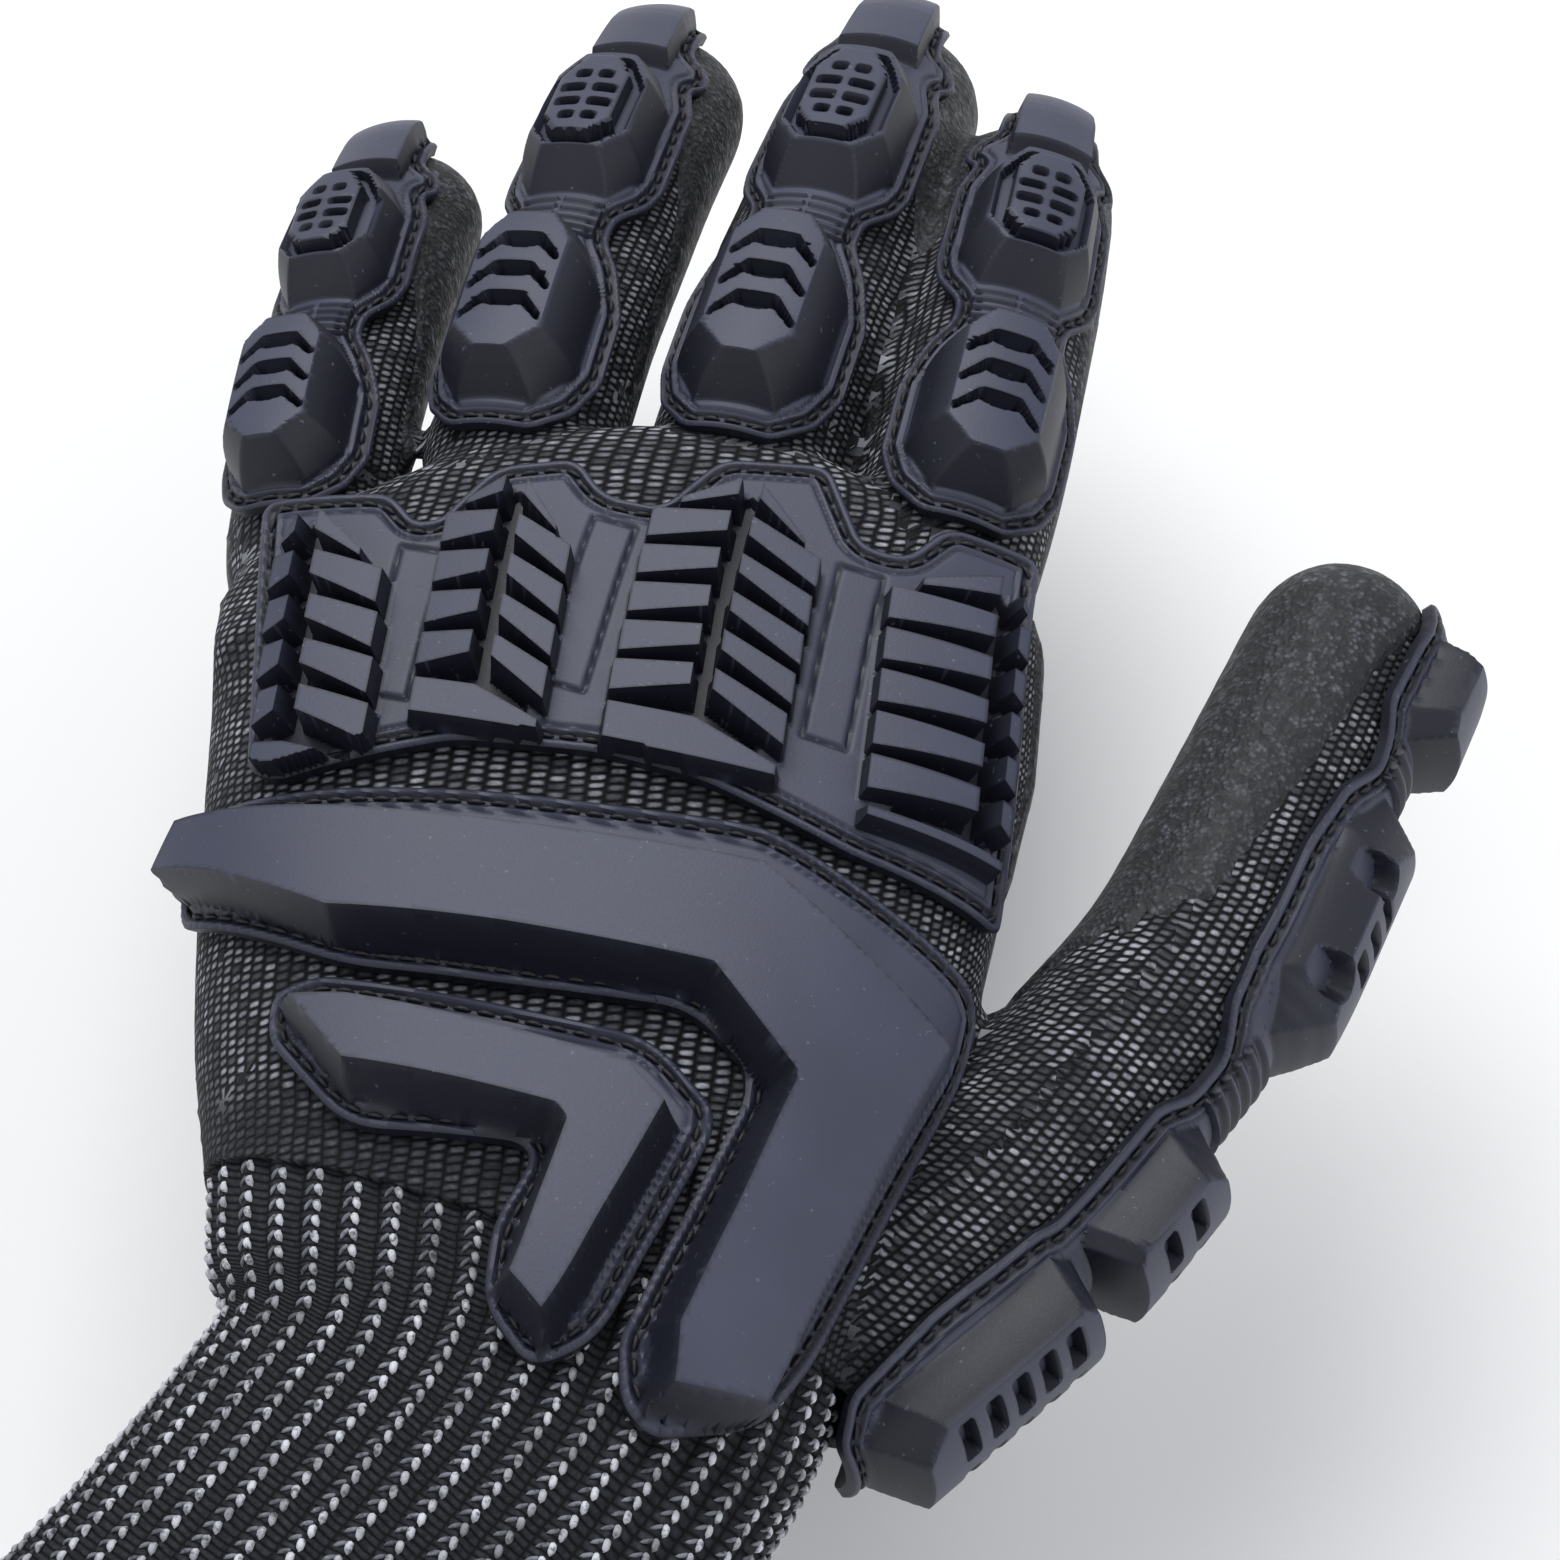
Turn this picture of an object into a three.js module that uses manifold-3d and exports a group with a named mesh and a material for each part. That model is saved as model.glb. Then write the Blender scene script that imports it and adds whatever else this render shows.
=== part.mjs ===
// A knitted left-hand impact glove in the form that a hand gives it: a hollow knit liner with a rubber-coated palm,
// moulded rubber guards sewn over the back, the knuckles, the fingers and the thumb, and a bound hem.
// Millimetres. The origin is the middle of the wrist, +Y runs to the fingertips, +Z out of the back of the hand,
// and +X to the thumb.
import * as THREE from 'three';
import { mergeVertices } from 'three/addons/utils/BufferGeometryUtils.js';
import Module from 'manifold-3d';

const wasm = await Module();
wasm.setup();

// Driving dimensions
const palmLength = 112; // wrist to the roots of the fingers
const knuckleWidth = 105; // across the four knuckles, over the knit
const wristDepth = 41; // back to palm at the wrist
const cuffLength = 78; // wrist to hem
const cuffBend = 23; // degrees that the forearm turns to the little-finger side
const knitWall = 1.8; // the knit's thickness
const coatWall = 1; // the rubber coating's thickness
const clearance = 0.7; // between the knit and what is sewn or laid on it
const plateThickness = 1.7; // the sewn rim of every guard
const lobeHeight = 6; // the raised parts of the finger guards above their rim
const ribHeight = 4.2; // the ribs of the knuckle guard above its plate
const backPadHeight = 6.6; // the two angled pads above their rims
const thumbLobeHeight = 6.6; // the raised parts of the thumb guard above its rim
const hemWidth = 6; // the bound edge of the cuff, along the arm
const hemThickness = 2.2;
const cuffRibs = 32; // ribs knitted round the cuff
const cuffRibDepth = 0.9;

// Facets: sides round each section, and how far a straight edge may stray from the bent surface
const palmSides = 24;
const fingerSides = 10;
const innerSides = 8;
const straying = 0.42;
const shortest = 3; // no edge shorter than this is split

const radians = THREE.MathUtils.degToRad;
const smoothStep = (u) => THREE.MathUtils.smoothstep(u, 0, 1);

// The palm's sections from the wrist to the roots of the fingers. along is a share of palmLength, centre and half
// are shares of knuckleWidth, and crown and sole are shares of wristDepth.
const palmSections = [
  { along: -0.18, centre: 0.0, half: 0.352, crown: 0.505, sole: 0.49 },
  { along: 0, centre: -0.014, half: 0.366, crown: 0.5, sole: 0.49 },
  { along: 0.18, centre: -0.038, half: 0.41, crown: 0.465, sole: 0.49 },
  { along: 0.4, centre: -0.057, half: 0.452, crown: 0.43, sole: 0.44 },
  { along: 0.63, centre: -0.081, half: 0.481, crown: 0.415, sole: 0.39 },
  { along: 0.82, centre: -0.1, half: 0.5, crown: 0.38, sole: 0.365 },
  { along: 1, centre: -0.105, half: 0.486, crown: 0.305, sole: 0.315 },
];

// The cuff's sections from the wrist to the hem, along as a share of cuffLength.
const cuffSections = [
  { along: 0, half: 0.355, crown: 0.5, sole: 0.49 },
  { along: 0.3, half: 0.324, crown: 0.48, sole: 0.48 },
  { along: 0.65, half: 0.322, crown: 0.48, sole: 0.48 },
  { along: 1, half: 0.345, crown: 0.5, sole: 0.5 },
];

// Fingers. x is a share of knuckleWidth and y of palmLength, where the finger's axis starts in the palm. splay turns
// it to the thumb, roll tips its back to the thumb, and each bend is degrees towards the palm at a share of its length.
const fingerTable = [
  { name: 'little', x: -0.485, y: 0.61, z: -1, length: 98, half: 10.4, splay: -8.2, roll: -19 },
  { name: 'ring', x: -0.29, y: 0.7, z: 2, length: 115, half: 12, splay: -1.5, roll: -12 },
  { name: 'middle', x: -0.038, y: 0.73, z: 2.5, length: 121, half: 12.6, splay: 2, roll: -5 },
  { name: 'index', x: 0.238, y: 0.7, z: 2, length: 109.5, half: 12.4, splay: 1, roll: 12 },
];
const fingerBends = [
  { at: 0, degrees: 5 },
  { at: 0.47, degrees: 9 },
  { at: 0.76, degrees: 7 },
];
const fingerGirth = [
  { along: 0, half: 0.8 },
  { along: 0.3, half: 1 },
  { along: 0.55, half: 1 },
  { along: 0.76, half: 0.98 },
  { along: 1, half: 0.92 },
];

// The thumb, from the heel of the hand. Its back faces away from the fingers.
const thumb = { name: 'thumb', x: 0.232, y: -0.07, z: -5, length: 139, half: 13.2, heading: 35.6, pitch: 0 };
const thumbBends = [
  { at: 0.3, degrees: 9 },
  { at: 0.57, degrees: 13.6 },
  { at: 0.8, degrees: 0.6 },
];
// half is a share of the thumb's half width, and deep how far its sides reach for that.
const thumbGirth = [
  { along: 0, half: 1.14, deep: 0.78 },
  { along: 0.3, half: 1.12, deep: 0.85 },
  { along: 0.5, half: 1.06, deep: 0.96 },
  { along: 0.7, half: 1, deep: 1 },
  { along: 1, half: 0.92, deep: 1 },
];
const limbFlatness = 0.93; // a limb's depth over its width
const palmSquareness = 2.4; // 2 is an ellipse, more is squarer
const bendSpread = 0.16; // the share of a limb's length over which it bends at a joint

// Smooth value of every column of a table at a place along it.
function rowAt(table, along) {
  const columns = Object.keys(table[0]).filter((key) => key !== 'along');
  const last = table.length - 1;
  const place = THREE.MathUtils.clamp(along, table[0].along, table[last].along);
  let i = 0;
  while (i < last - 1 && place > table[i + 1].along) i++;
  const span = table[i + 1].along - table[i].along;
  const u = (place - table[i].along) / span;
  const slope = (k, column) => {
    const before = table[Math.max(k - 1, 0)];
    const after = table[Math.min(k + 1, last)];
    return ((after[column] - before[column]) / (after.along - before.along)) * span;
  };
  const value = {};
  for (const column of columns) {
    const a = table[i][column];
    const b = table[i + 1][column];
    value[column] =
      (2 * u ** 3 - 3 * u ** 2 + 1) * a +
      (u ** 3 - 2 * u ** 2 + u) * slope(i, column) +
      (3 * u ** 2 - 2 * u ** 3) * b +
      (u ** 3 - u ** 2) * slope(i + 1, column);
  }
  return value;
}

const power = (value, exponent) => Math.sign(value) * Math.abs(value) ** exponent;

// One point of a rounded-square section, with its angle from the thumb side over the back.
function sectionPoint(section, angle) {
  const exponent = 2 / section.squareness;
  const rise = Math.sin(angle) > 0 ? section.crown : section.sole;
  return [section.half * power(Math.cos(angle), exponent), rise * power(Math.sin(angle), exponent)];
}

// The palm's or the cuff's section at a distance from the wrist towards the fingers, in millimetres.
function bodySection(distance) {
  const palm = rowAt(palmSections, distance / palmLength);
  const cuff = rowAt(cuffSections, Math.max(-distance, 0) / cuffLength);
  const share = smoothStep(-distance / (0.2 * palmLength));
  const blend = (column, size) => THREE.MathUtils.lerp(palm[column], cuff[column] ?? 0, share) * size;
  return {
    centre: blend('centre', knuckleWidth),
    half: blend('half', knuckleWidth),
    crown: blend('crown', wristDepth),
    sole: blend('sole', wristDepth),
    squareness: palmSquareness,
  };
}

// The middle line of the cuff turns to the little-finger side below the wrist.
const bendStart = -4;
const bendLength = 26;
function bodyFrame(distance) {
  const turnAt = (d) => radians(cuffBend) * smoothStep((bendStart - d) / bendLength);
  const middle = new THREE.Vector3(0, Math.max(distance, 0), 0);
  const steps = 40;
  for (let i = 0; distance < 0 && i < steps; i++) {
    const turn = turnAt((distance * (i + 0.5)) / steps);
    middle.x += (distance / steps) * Math.sin(turn);
    middle.y += (distance / steps) * Math.cos(turn);
  }
  const turn = turnAt(distance);
  const side = new THREE.Vector3(Math.cos(turn), -Math.sin(turn), 0);
  return { middle, side, up: new THREE.Vector3(0, 0, 1) };
}

// A section as a fine line from its crown: at(across) is the offset and the outward direction there.
function unrolled(section) {
  const count = 120;
  const points = [];
  for (let i = 0; i <= count; i++) {
    points.push(sectionPoint(section, radians(205 - (230 * i) / count)));
  }
  const lengths = [0];
  for (let i = 1; i <= count; i++) {
    lengths.push(lengths[i - 1] + Math.hypot(points[i][0] - points[i - 1][0], points[i][1] - points[i - 1][1]));
  }
  let crown = 0;
  while (points[crown + 1][0] < 0) crown++;
  const share = -points[crown][0] / (points[crown + 1][0] - points[crown][0]);
  const zero = lengths[crown] + share * (lengths[crown + 1] - lengths[crown]);
  return (across) => {
    const length = THREE.MathUtils.clamp(across + zero, 0, lengths[count]);
    let i = 0;
    while (i < count - 1 && length > lengths[i + 1]) i++;
    const step = lengths[i + 1] - lengths[i];
    const u = (length - lengths[i]) / step;
    const [x0, z0] = points[i];
    const [x1, z1] = points[i + 1];
    return { x: x0 + (x1 - x0) * u, z: z0 + (z1 - z0) * u, nx: -(z1 - z0) / step, nz: (x1 - x0) / step };
  };
}

// A point of the back of the hand: across round the section from its crown, distance from the wrist, height above.
function backPoint(across, distance, height) {
  const section = bodySection(distance);
  const { middle, side, up } = bodyFrame(distance);
  const on = unrolled(section)(across);
  return middle
    .clone()
    .addScaledVector(side, section.centre + on.x + on.nx * height)
    .addScaledVector(up, on.z + on.nz * height);
}

// A finger or the thumb: its middle line, and its back as a line that carries on over the rounded tip.
function makeLimb({ start, forward, dorsal, length, half, bends, girth, fullBase }) {
  const steps = 70;
  const lateral = forward.clone().cross(dorsal);
  const rings = [];
  const middle = start.clone();
  const tipLength = half * 0.95;
  for (let i = 0; i <= steps; i++) {
    const t = i / steps;
    let angle = 0;
    for (const bend of bends) {
      angle += radians(bend.degrees) * (bend.at === 0 ? 1 : smoothStep((t - bend.at) / bendSpread + 0.5));
    }
    const tangent = forward.clone().multiplyScalar(Math.cos(angle)).addScaledVector(dorsal, -Math.sin(angle));
    const normal = dorsal.clone().multiplyScalar(Math.cos(angle)).addScaledVector(forward, Math.sin(angle));
    if (i > 0) middle.addScaledVector(tangent, length / steps);
    const rounding = THREE.MathUtils.clamp((t * length - (length - tipLength)) / tipLength, 0, 1);
    const row = rowAt(girth, t);
    const full = row.half * half;
    const deep = row.deep ?? 1;
    const width = full * Math.sqrt(Math.max(1 - rounding ** 2.2, 0));
    rings.push({ middle: middle.clone(), tangent, normal, full, width, rounding, deep });
  }
  const back = rings.map((ring) => ring.middle.clone().addScaledVector(ring.normal, ring.width * limbFlatness));
  const distances = [0];
  for (let i = 1; i <= steps; i++) distances.push(distances[i - 1] + back[i].distanceTo(back[i - 1]));
  return { rings, back, distances, lateral, length, half, tipLength, fullBase };
}

// A point of a limb's back, like backPoint.
function limbPoint(limb, across, distance, height) {
  const { rings, back, distances, lateral } = limb;
  const last = rings.length - 1;
  let i = 0;
  while (i < last - 1 && distance > distances[i + 1]) i++;
  const u = (distance - distances[i]) / (distances[i + 1] - distances[i]);
  const place = back[i].clone().lerp(back[i + 1], u);
  const slopeAt = (k) => back[Math.min(k + 1, last)].clone().sub(back[Math.max(k - 1, 0)]).normalize();
  const slope = slopeAt(i).lerp(slopeAt(i + 1), THREE.MathUtils.clamp(u, 0, 1)).normalize();
  const outward = lateral.clone().cross(slope).normalize();
  const half = THREE.MathUtils.lerp(rings[i].full, rings[i + 1].full, THREE.MathUtils.clamp(u, 0, 1));
  const crown = half * limbFlatness;
  const on = unrolled({ half: half * rings[i].deep, crown, sole: crown, squareness: 2 })(across);
  return place
    .addScaledVector(lateral, on.x + on.nx * height)
    .addScaledVector(outward, on.z - crown + on.nz * height);
}

const limbs = {};
for (const finger of fingerTable) {
  const splay = radians(finger.splay);
  const roll = radians(finger.roll);
  const forward = new THREE.Vector3(Math.sin(splay), Math.cos(splay), 0);
  const dorsal = new THREE.Vector3(0, 0, Math.cos(roll));
  dorsal.addScaledVector(new THREE.Vector3(Math.cos(splay), -Math.sin(splay), 0), Math.sin(roll));
  limbs[finger.name] = makeLimb({
    start: new THREE.Vector3(finger.x * knuckleWidth, finger.y * palmLength, finger.z),
    forward,
    dorsal,
    length: finger.length,
    half: finger.half,
    bends: fingerBends,
    girth: fingerGirth,
  });
}
const heading = radians(thumb.heading);
limbs.thumb = makeLimb({
  start: new THREE.Vector3(thumb.x * knuckleWidth, thumb.y * palmLength, thumb.z),
  forward: new THREE.Vector3(Math.sin(heading), Math.cos(heading), Math.sin(radians(thumb.pitch))).normalize(),
  dorsal: new THREE.Vector3(Math.cos(heading), -Math.sin(heading), 0),
  length: thumb.length,
  half: thumb.half,
  bends: thumbBends,
  girth: thumbGirth,
});

// A closed skin over rings of points with as many points each, its ends closed by fans.
function skin(rings) {
  const count = rings[0].length;
  const points = rings.flat();
  const faces = [];
  for (let r = 0; r < rings.length - 1; r++) {
    for (let i = 0; i < count; i++) {
      const a = r * count + i;
      const b = r * count + ((i + 1) % count);
      faces.push(a, b, b + count, a, b + count, a + count);
    }
  }
  const close = (ring, offset, flip) => {
    const middle = ring.reduce((sum, p) => sum.add(p), new THREE.Vector3()).divideScalar(count);
    points.push(middle);
    for (let i = 0; i < count; i++) {
      const pair = [offset + i, offset + ((i + 1) % count)];
      if (flip) pair.reverse();
      faces.push(points.length - 1, ...pair);
    }
  };
  close(rings[0], 0, true);
  close(rings[rings.length - 1], (rings.length - 1) * count, false);
  return toSolid(points, faces);
}

// A solid from points and triangles, turned right side out.
function toSolid(points, faces) {
  const geometry = new THREE.BufferGeometry().setFromPoints(points);
  geometry.setIndex(faces);
  const merged = mergeVertices(geometry, 1e-4);
  const position = merged.attributes.position;
  let index = [...merged.index.array];
  const [a, b, c] = [new THREE.Vector3(), new THREE.Vector3(), new THREE.Vector3()];
  let volume = 0;
  for (let i = 0; i < index.length; i += 3) {
    [a, b, c].forEach((v, k) => v.fromBufferAttribute(position, index[i + k]));
    volume += a.dot(b.cross(c));
  }
  if (volume < 0) index = index.reverse();
  return new wasm.Manifold(
    new wasm.Mesh({
      numProp: 3,
      vertProperties: new Float32Array(position.array),
      triVerts: new Uint32Array(index),
    }),
  );
}

function toGeometry(solid) {
  const mesh = solid.getMesh();
  const geometry = new THREE.BufferGeometry();
  geometry.setAttribute('position', new THREE.BufferAttribute(new Float32Array(mesh.vertProperties), 3));
  geometry.setIndex([...mesh.triVerts]);
  return geometry;
}

const union = (solids) => solids.reduce((whole, solid) => whole.add(solid));

// A limb's skin, grown outwards by grow, or inwards where grow is negative.
function limbSkin(limb, grow, sides, stations) {
  const rings = [];
  for (const station of stations) {
    const place = station * (limb.rings.length - 1);
    const ring = limb.rings[Math.round(place)];
    const width = Math.max(ring.width + grow * (1 - 0.4 * ring.rounding), 0.6);
    const middle = ring.middle.clone().addScaledVector(ring.tangent, grow * ring.rounding);
    rings.push(
      Array.from({ length: sides }, (_, i) => {
        const angle = (2 * Math.PI * (i + 0.5)) / sides;
        return middle
          .clone()
          .addScaledVector(limb.lateral, width * ring.deep * Math.cos(angle))
          .addScaledVector(ring.normal, width * limbFlatness * Math.sin(angle));
      }),
    );
  }
  return skin(rings);
}

// The palm's end follows the roots of the fingers, lower at both sides.
const rootCurve = 0.0085;
const rootMiddle = -2;
function bodyRing(distance, grow, sides, flute = 0, endShare = 0) {
  const section = bodySection(distance);
  const { middle, side, up } = bodyFrame(distance);
  section.half += grow;
  section.crown += grow;
  section.sole += grow;
  return Array.from({ length: sides }, (_, i) => {
    const [x, z] = sectionPoint(section, (2 * Math.PI * (i + 0.5)) / sides);
    const scale = 1 - (flute * (i % 2)) / section.half;
    const point = middle.clone().addScaledVector(side, section.centre + x * scale).addScaledVector(up, z * scale);
    const bow = (point.x - rootMiddle) * (1 - grow / section.half);
    point.y -= endShare * rootCurve * bow ** 2;
    return point;
  });
}

const palmStations = [-0.1, 0.06, 0.28, 0.5, 0.72, 0.88, 0.98];
const fingerStations = [0, 0.41, 0.55, 0.72, 0.85, 0.94, 0.985, 1];
const innerStations = [0, 0.47, 0.76, 0.92, 1];
const thumbStations = [0, 0.24, 0.37, 0.52, 0.65, 0.87, 0.95, 0.985, 1];

// Palm, fingers and thumb as one solid, grown by grow.
function handSolid(grow, fine) {
  const rings = palmStations.map((share) =>
    bodyRing(share * palmLength, grow, fine ? palmSides : 16, 0, smoothStep((share - 0.55) / 0.4)),
  );
  const end = bodyRing(1.03 * palmLength + 2.5 * grow, grow - 4, fine ? palmSides : 16, 0, 1);
  const parts = [skin([...rings, end])];
  for (const [name, limb] of Object.entries(limbs)) {
    const outer = name === 'thumb' ? thumbStations : fingerStations;
    parts.push(limbSkin(limb, grow, fine ? fingerSides : innerSides, fine ? outer : innerStations));
  }
  return union(parts);
}

// The knit liner: ribbed cuff, palm and fingers in one, hollow from the hem to the fingertips.
function knitLiner() {
  const cuffSteps = [-1, -0.7, -0.42, -0.155];
  const rings = cuffSteps.map((share) => bodyRing(share * cuffLength, -0.4, cuffRibs * 2, cuffRibDepth));
  const cuff = skin([...rings, bodyRing(-0.11 * cuffLength, -4, cuffRibs * 2)]);
  const hollowSteps = [-1.1, -0.7, -0.42, -0.1];
  const hollow = skin(hollowSteps.map((share) => bodyRing(share * cuffLength, -knitWall - cuffRibDepth, 20)));
  return union([cuff, handSolid(0, true)]).subtract(hollow).subtract(handSolid(-knitWall, false));
}

// The bound hem round the end of the cuff.
function cuffHem() {
  const from = -cuffLength - clearance / 2;
  const to = from - hemWidth;
  const low = -knitWall - cuffRibDepth;
  const high = low + hemThickness + knitWall / 2;
  const rise = (high - low) * 0.3;
  const rings = [
    bodyRing(from, high - rise, palmSides),
    bodyRing(from - 0.25 * hemWidth, high, palmSides),
    bodyRing(to + 0.25 * hemWidth, high, palmSides),
    bodyRing(to, high - rise, palmSides),
  ];
  const hole = skin([bodyRing(from + 3, low, palmSides), bodyRing(to - 3, low, palmSides)]);
  return skin(rings).subtract(hole);
}

// Flat relief, before it is bent over the hand. An outline is a list of [across, distance] points.
// A block stands on an outline and may draw in to a smaller top by inset.
function inset(outline, by) {
  const count = outline.length;
  const turning = Math.sign(THREE.ShapeUtils.area(outline.map(([x, y]) => new THREE.Vector2(x, y))));
  return outline.map(([x, y], i) => {
    const [px, py] = outline[(i + count - 1) % count];
    const [nx, ny] = outline[(i + 1) % count];
    const into = new THREE.Vector2(x - px, y - py).normalize();
    const out = new THREE.Vector2(nx - x, ny - y).normalize();
    const left = new THREE.Vector2(-into.y - out.y, into.x + out.x).normalize();
    const spread = Math.max(left.dot(new THREE.Vector2(-into.y, into.x)), 0.45);
    return [x + (left.x * by * turning) / spread, y + (left.y * by * turning) / spread];
  });
}

function block(outline, low, high, top = outline) {
  const count = outline.length;
  const flat = outline.map(([x, y]) => new THREE.Vector2(x, y));
  const caps = THREE.ShapeUtils.triangulateShape(flat, []);
  const points = [
    ...outline.map(([x, y]) => new THREE.Vector3(x, y, low)),
    ...top.map(([x, y, z]) => new THREE.Vector3(x, y, z ?? high)),
  ];
  const faces = [];
  for (const [a, b, c] of caps) faces.push(a, c, b, a + count, b + count, c + count);
  const forward = THREE.ShapeUtils.area(flat) > 0;
  for (let i = 0; i < count; i++) {
    const j = (i + 1) % count;
    if (forward) faces.push(i, j, j + count, i, j + count, i + count);
    else faces.push(i, j + count, j, i, i + count, j + count);
  }
  return toSolid(points, faces);
}

// A bar between two points of the relief, low at one end and high at the other.
function bar([x0, y0], [x1, y1], width, low, high0, high1) {
  const along = new THREE.Vector2(x1 - x0, y1 - y0).normalize();
  const [sx, sy] = [(-along.y * width) / 2, (along.x * width) / 2];
  const outline = [[x0 - sx, y0 - sy], [x1 - sx, y1 - sy], [x1 + sx, y1 + sy], [x0 + sx, y0 + sy]];
  const heights = [high0, high1, high1, high0];
  return block(outline, low, high0, inset(outline, 0.45).map(([x, y], i) => [x, y, heights[i]]));
}

// Edges of a mesh, each with the faces on its two sides.
function edgesOf(faces) {
  const edges = new Map();
  faces.forEach((face, f) => {
    for (let k = 0; k < 3; k++) {
      const [a, b, c] = [face[k], face[(k + 1) % 3], face[(k + 2) % 3]];
      const key = Math.min(a, b) * 1e6 + Math.max(a, b);
      if (!edges.has(key)) edges.set(key, { key, a, b, sides: [] });
      edges.get(key).sides.push({ f, c });
    }
  });
  return edges;
}

// Turns the shared edge of two level faces where that makes both rounder, so no face is left a long sliver.
function turnEdges(points, faces) {
  const slimness = new THREE.Vector3(1, 0.5, 1);
  const p = points.map((point) => point.clone().multiply(slimness));
  const normal = (a, b, c) => p[b].clone().sub(p[a]).cross(p[c].clone().sub(p[a])).normalize();
  const angle = (at, a, b) => p[a].clone().sub(p[at]).angleTo(p[b].clone().sub(p[at]));
  for (let pass = 0; pass < 25; pass++) {
    const edges = edgesOf(faces);
    const used = new Set();
    for (const { a, b, sides } of [...edges.values()]) {
      const [{ f, c }, { f: g, c: d }] = sides;
      const turned = Math.min(c, d) * 1e6 + Math.max(c, d);
      if (used.has(f) || used.has(g) || edges.has(turned)) continue;
      if (angle(c, a, b) + angle(d, a, b) < Math.PI + 0.02) continue;
      const level = normal(a, b, c);
      if (level.dot(normal(b, a, d)) < 0.99999) continue;
      if (level.dot(normal(a, d, c)) < 0.9999 || level.dot(normal(d, b, c)) < 0.9999) continue;
      faces[f] = [a, d, c];
      faces[g] = [d, b, c];
      used.add(f).add(g);
      edges.set(turned, { a: c, b: d, sides: [] });
    }
    if (used.size === 0) return;
  }
}

// Bends a flat relief: place(across, distance, height) gives each point, and an edge that strays is split.
function bend(solid, place, tolerance = straying) {
  const geometry = mergeVertices(toGeometry(solid), 1e-4);
  const points = [];
  for (let i = 0; i < geometry.attributes.position.count; i++) {
    points.push(new THREE.Vector3().fromBufferAttribute(geometry.attributes.position, i));
  }
  const index = geometry.index.array;
  const faces = Array.from({ length: index.length / 3 }, (_, f) => [...index.slice(3 * f, 3 * f + 3)]);
  const placed = points.map((p) => place(p.x, p.y, p.z));
  const kept = new Set();
  for (let pass = 0; pass < 14; pass++) {
    turnEdges(points, faces);
    const split = [];
    for (const edge of edgesOf(faces).values()) {
      if (kept.has(edge.key) || points[edge.a].distanceTo(points[edge.b]) < shortest) continue;
      const middle = points[edge.a].clone().lerp(points[edge.b], 0.5);
      const bent = edge.bent ?? place(middle.x, middle.y, middle.z);
      const far = bent.distanceTo(placed[edge.a].clone().lerp(placed[edge.b], 0.5));
      if (far > tolerance) split.push({ ...edge, middle, bent, far });
      else kept.add(edge.key);
    }
    if (split.length === 0) break;
    split.sort((one, other) => other.far - one.far);
    const used = new Set();
    for (const { a, b, sides, middle, bent } of split) {
      if (sides.some(({ f }) => used.has(f))) continue;
      const m = points.push(middle) - 1;
      placed.push(bent);
      for (const { f, c } of sides) {
        const forward = (faces[f].indexOf(a) + 1) % 3 === faces[f].indexOf(b);
        const [from, to] = forward ? [a, b] : [b, a];
        faces[f] = [from, m, c];
        used.add(f).add(faces.push([m, to, c]) - 1);
      }
    }
  }
  return toSolid(placed, faces.flat());
}

// A symmetric outline from half widths along its length: rows of [distance, half].
function mirrored(rows) {
  return [...rows.map(([y, half]) => [half, y]), ...[...rows].reverse().map(([y, half]) => [-half, y])];
}

// A finger guard's outline, along its length and across its half width: rim, the lobe over the first bone and the
// lobe over the fingertip with their flat tops, and the block that caps the end.
const guardRim = [
  { along: 0, half: 0.42 },
  { along: 0.05, half: 0.8 },
  { along: 0.12, half: 1 },
  { along: 0.25, half: 1 },
  { along: 0.33, half: 0.8 },
  { along: 0.38, half: 0.58 },
  { along: 0.43, half: 0.58 },
  { along: 0.49, half: 0.84 },
  { along: 0.54, half: 0.92 },
  { along: 0.73, half: 0.88 },
  { along: 0.79, half: 0.72 },
  { along: 0.82, half: 0.86 },
  { along: 0.86, half: 0.8 },
  { along: 0.88, half: 0.56 },
  { along: 1, half: 0.48 },
];
const firstLobe = [
  { along: 0.035, half: 0.42, topAlong: 0.08, top: 0.2 },
  { along: 0.11, half: 0.78, topAlong: 0.14, top: 0.42 },
  { along: 0.26, half: 0.78, topAlong: 0.29, top: 0.42 },
  { along: 0.355, half: 0.42, topAlong: 0.34, top: 0.26 },
];
const endLobe = [
  { along: 0.455, half: 0.44, topAlong: 0.515, top: 0.3 },
  { along: 0.53, half: 0.72, topAlong: 0.56, top: 0.48 },
  { along: 0.7, half: 0.68, topAlong: 0.69, top: 0.48 },
  { along: 0.775, half: 0.44, topAlong: 0.745, top: 0.26 },
];
const tipBlock = [
  { along: 0.8, half: 0.5, topAlong: 0.825, top: 0.4 },
  { along: 0.985, half: 0.44, topAlong: 0.96, top: 0.34 },
];
const gridPlate = [
  { along: 0.53, half: 0.22 },
  { along: 0.57, half: 0.38 },
  { along: 0.67, half: 0.38 },
  { along: 0.72, half: 0.22 },
];
const scaleCuts = [0.185, 0.24, 0.295]; // where the three scales of the first lobe end
const guardStart = 28; // from the start of a finger's axis to its guard
const guardLengthShare = 0.76; // of a finger's length, over the tip
const guardHalfShare = 0.94; // of a finger's half width

function lobe(rows, at, half, low, high) {
  const scale = (column, width) => mirrored(rows.map((row) => [at(row[column]), half * row[width]]));
  return block(scale('along', 'half'), low, high, scale('topAlong', 'top'));
}

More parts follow.
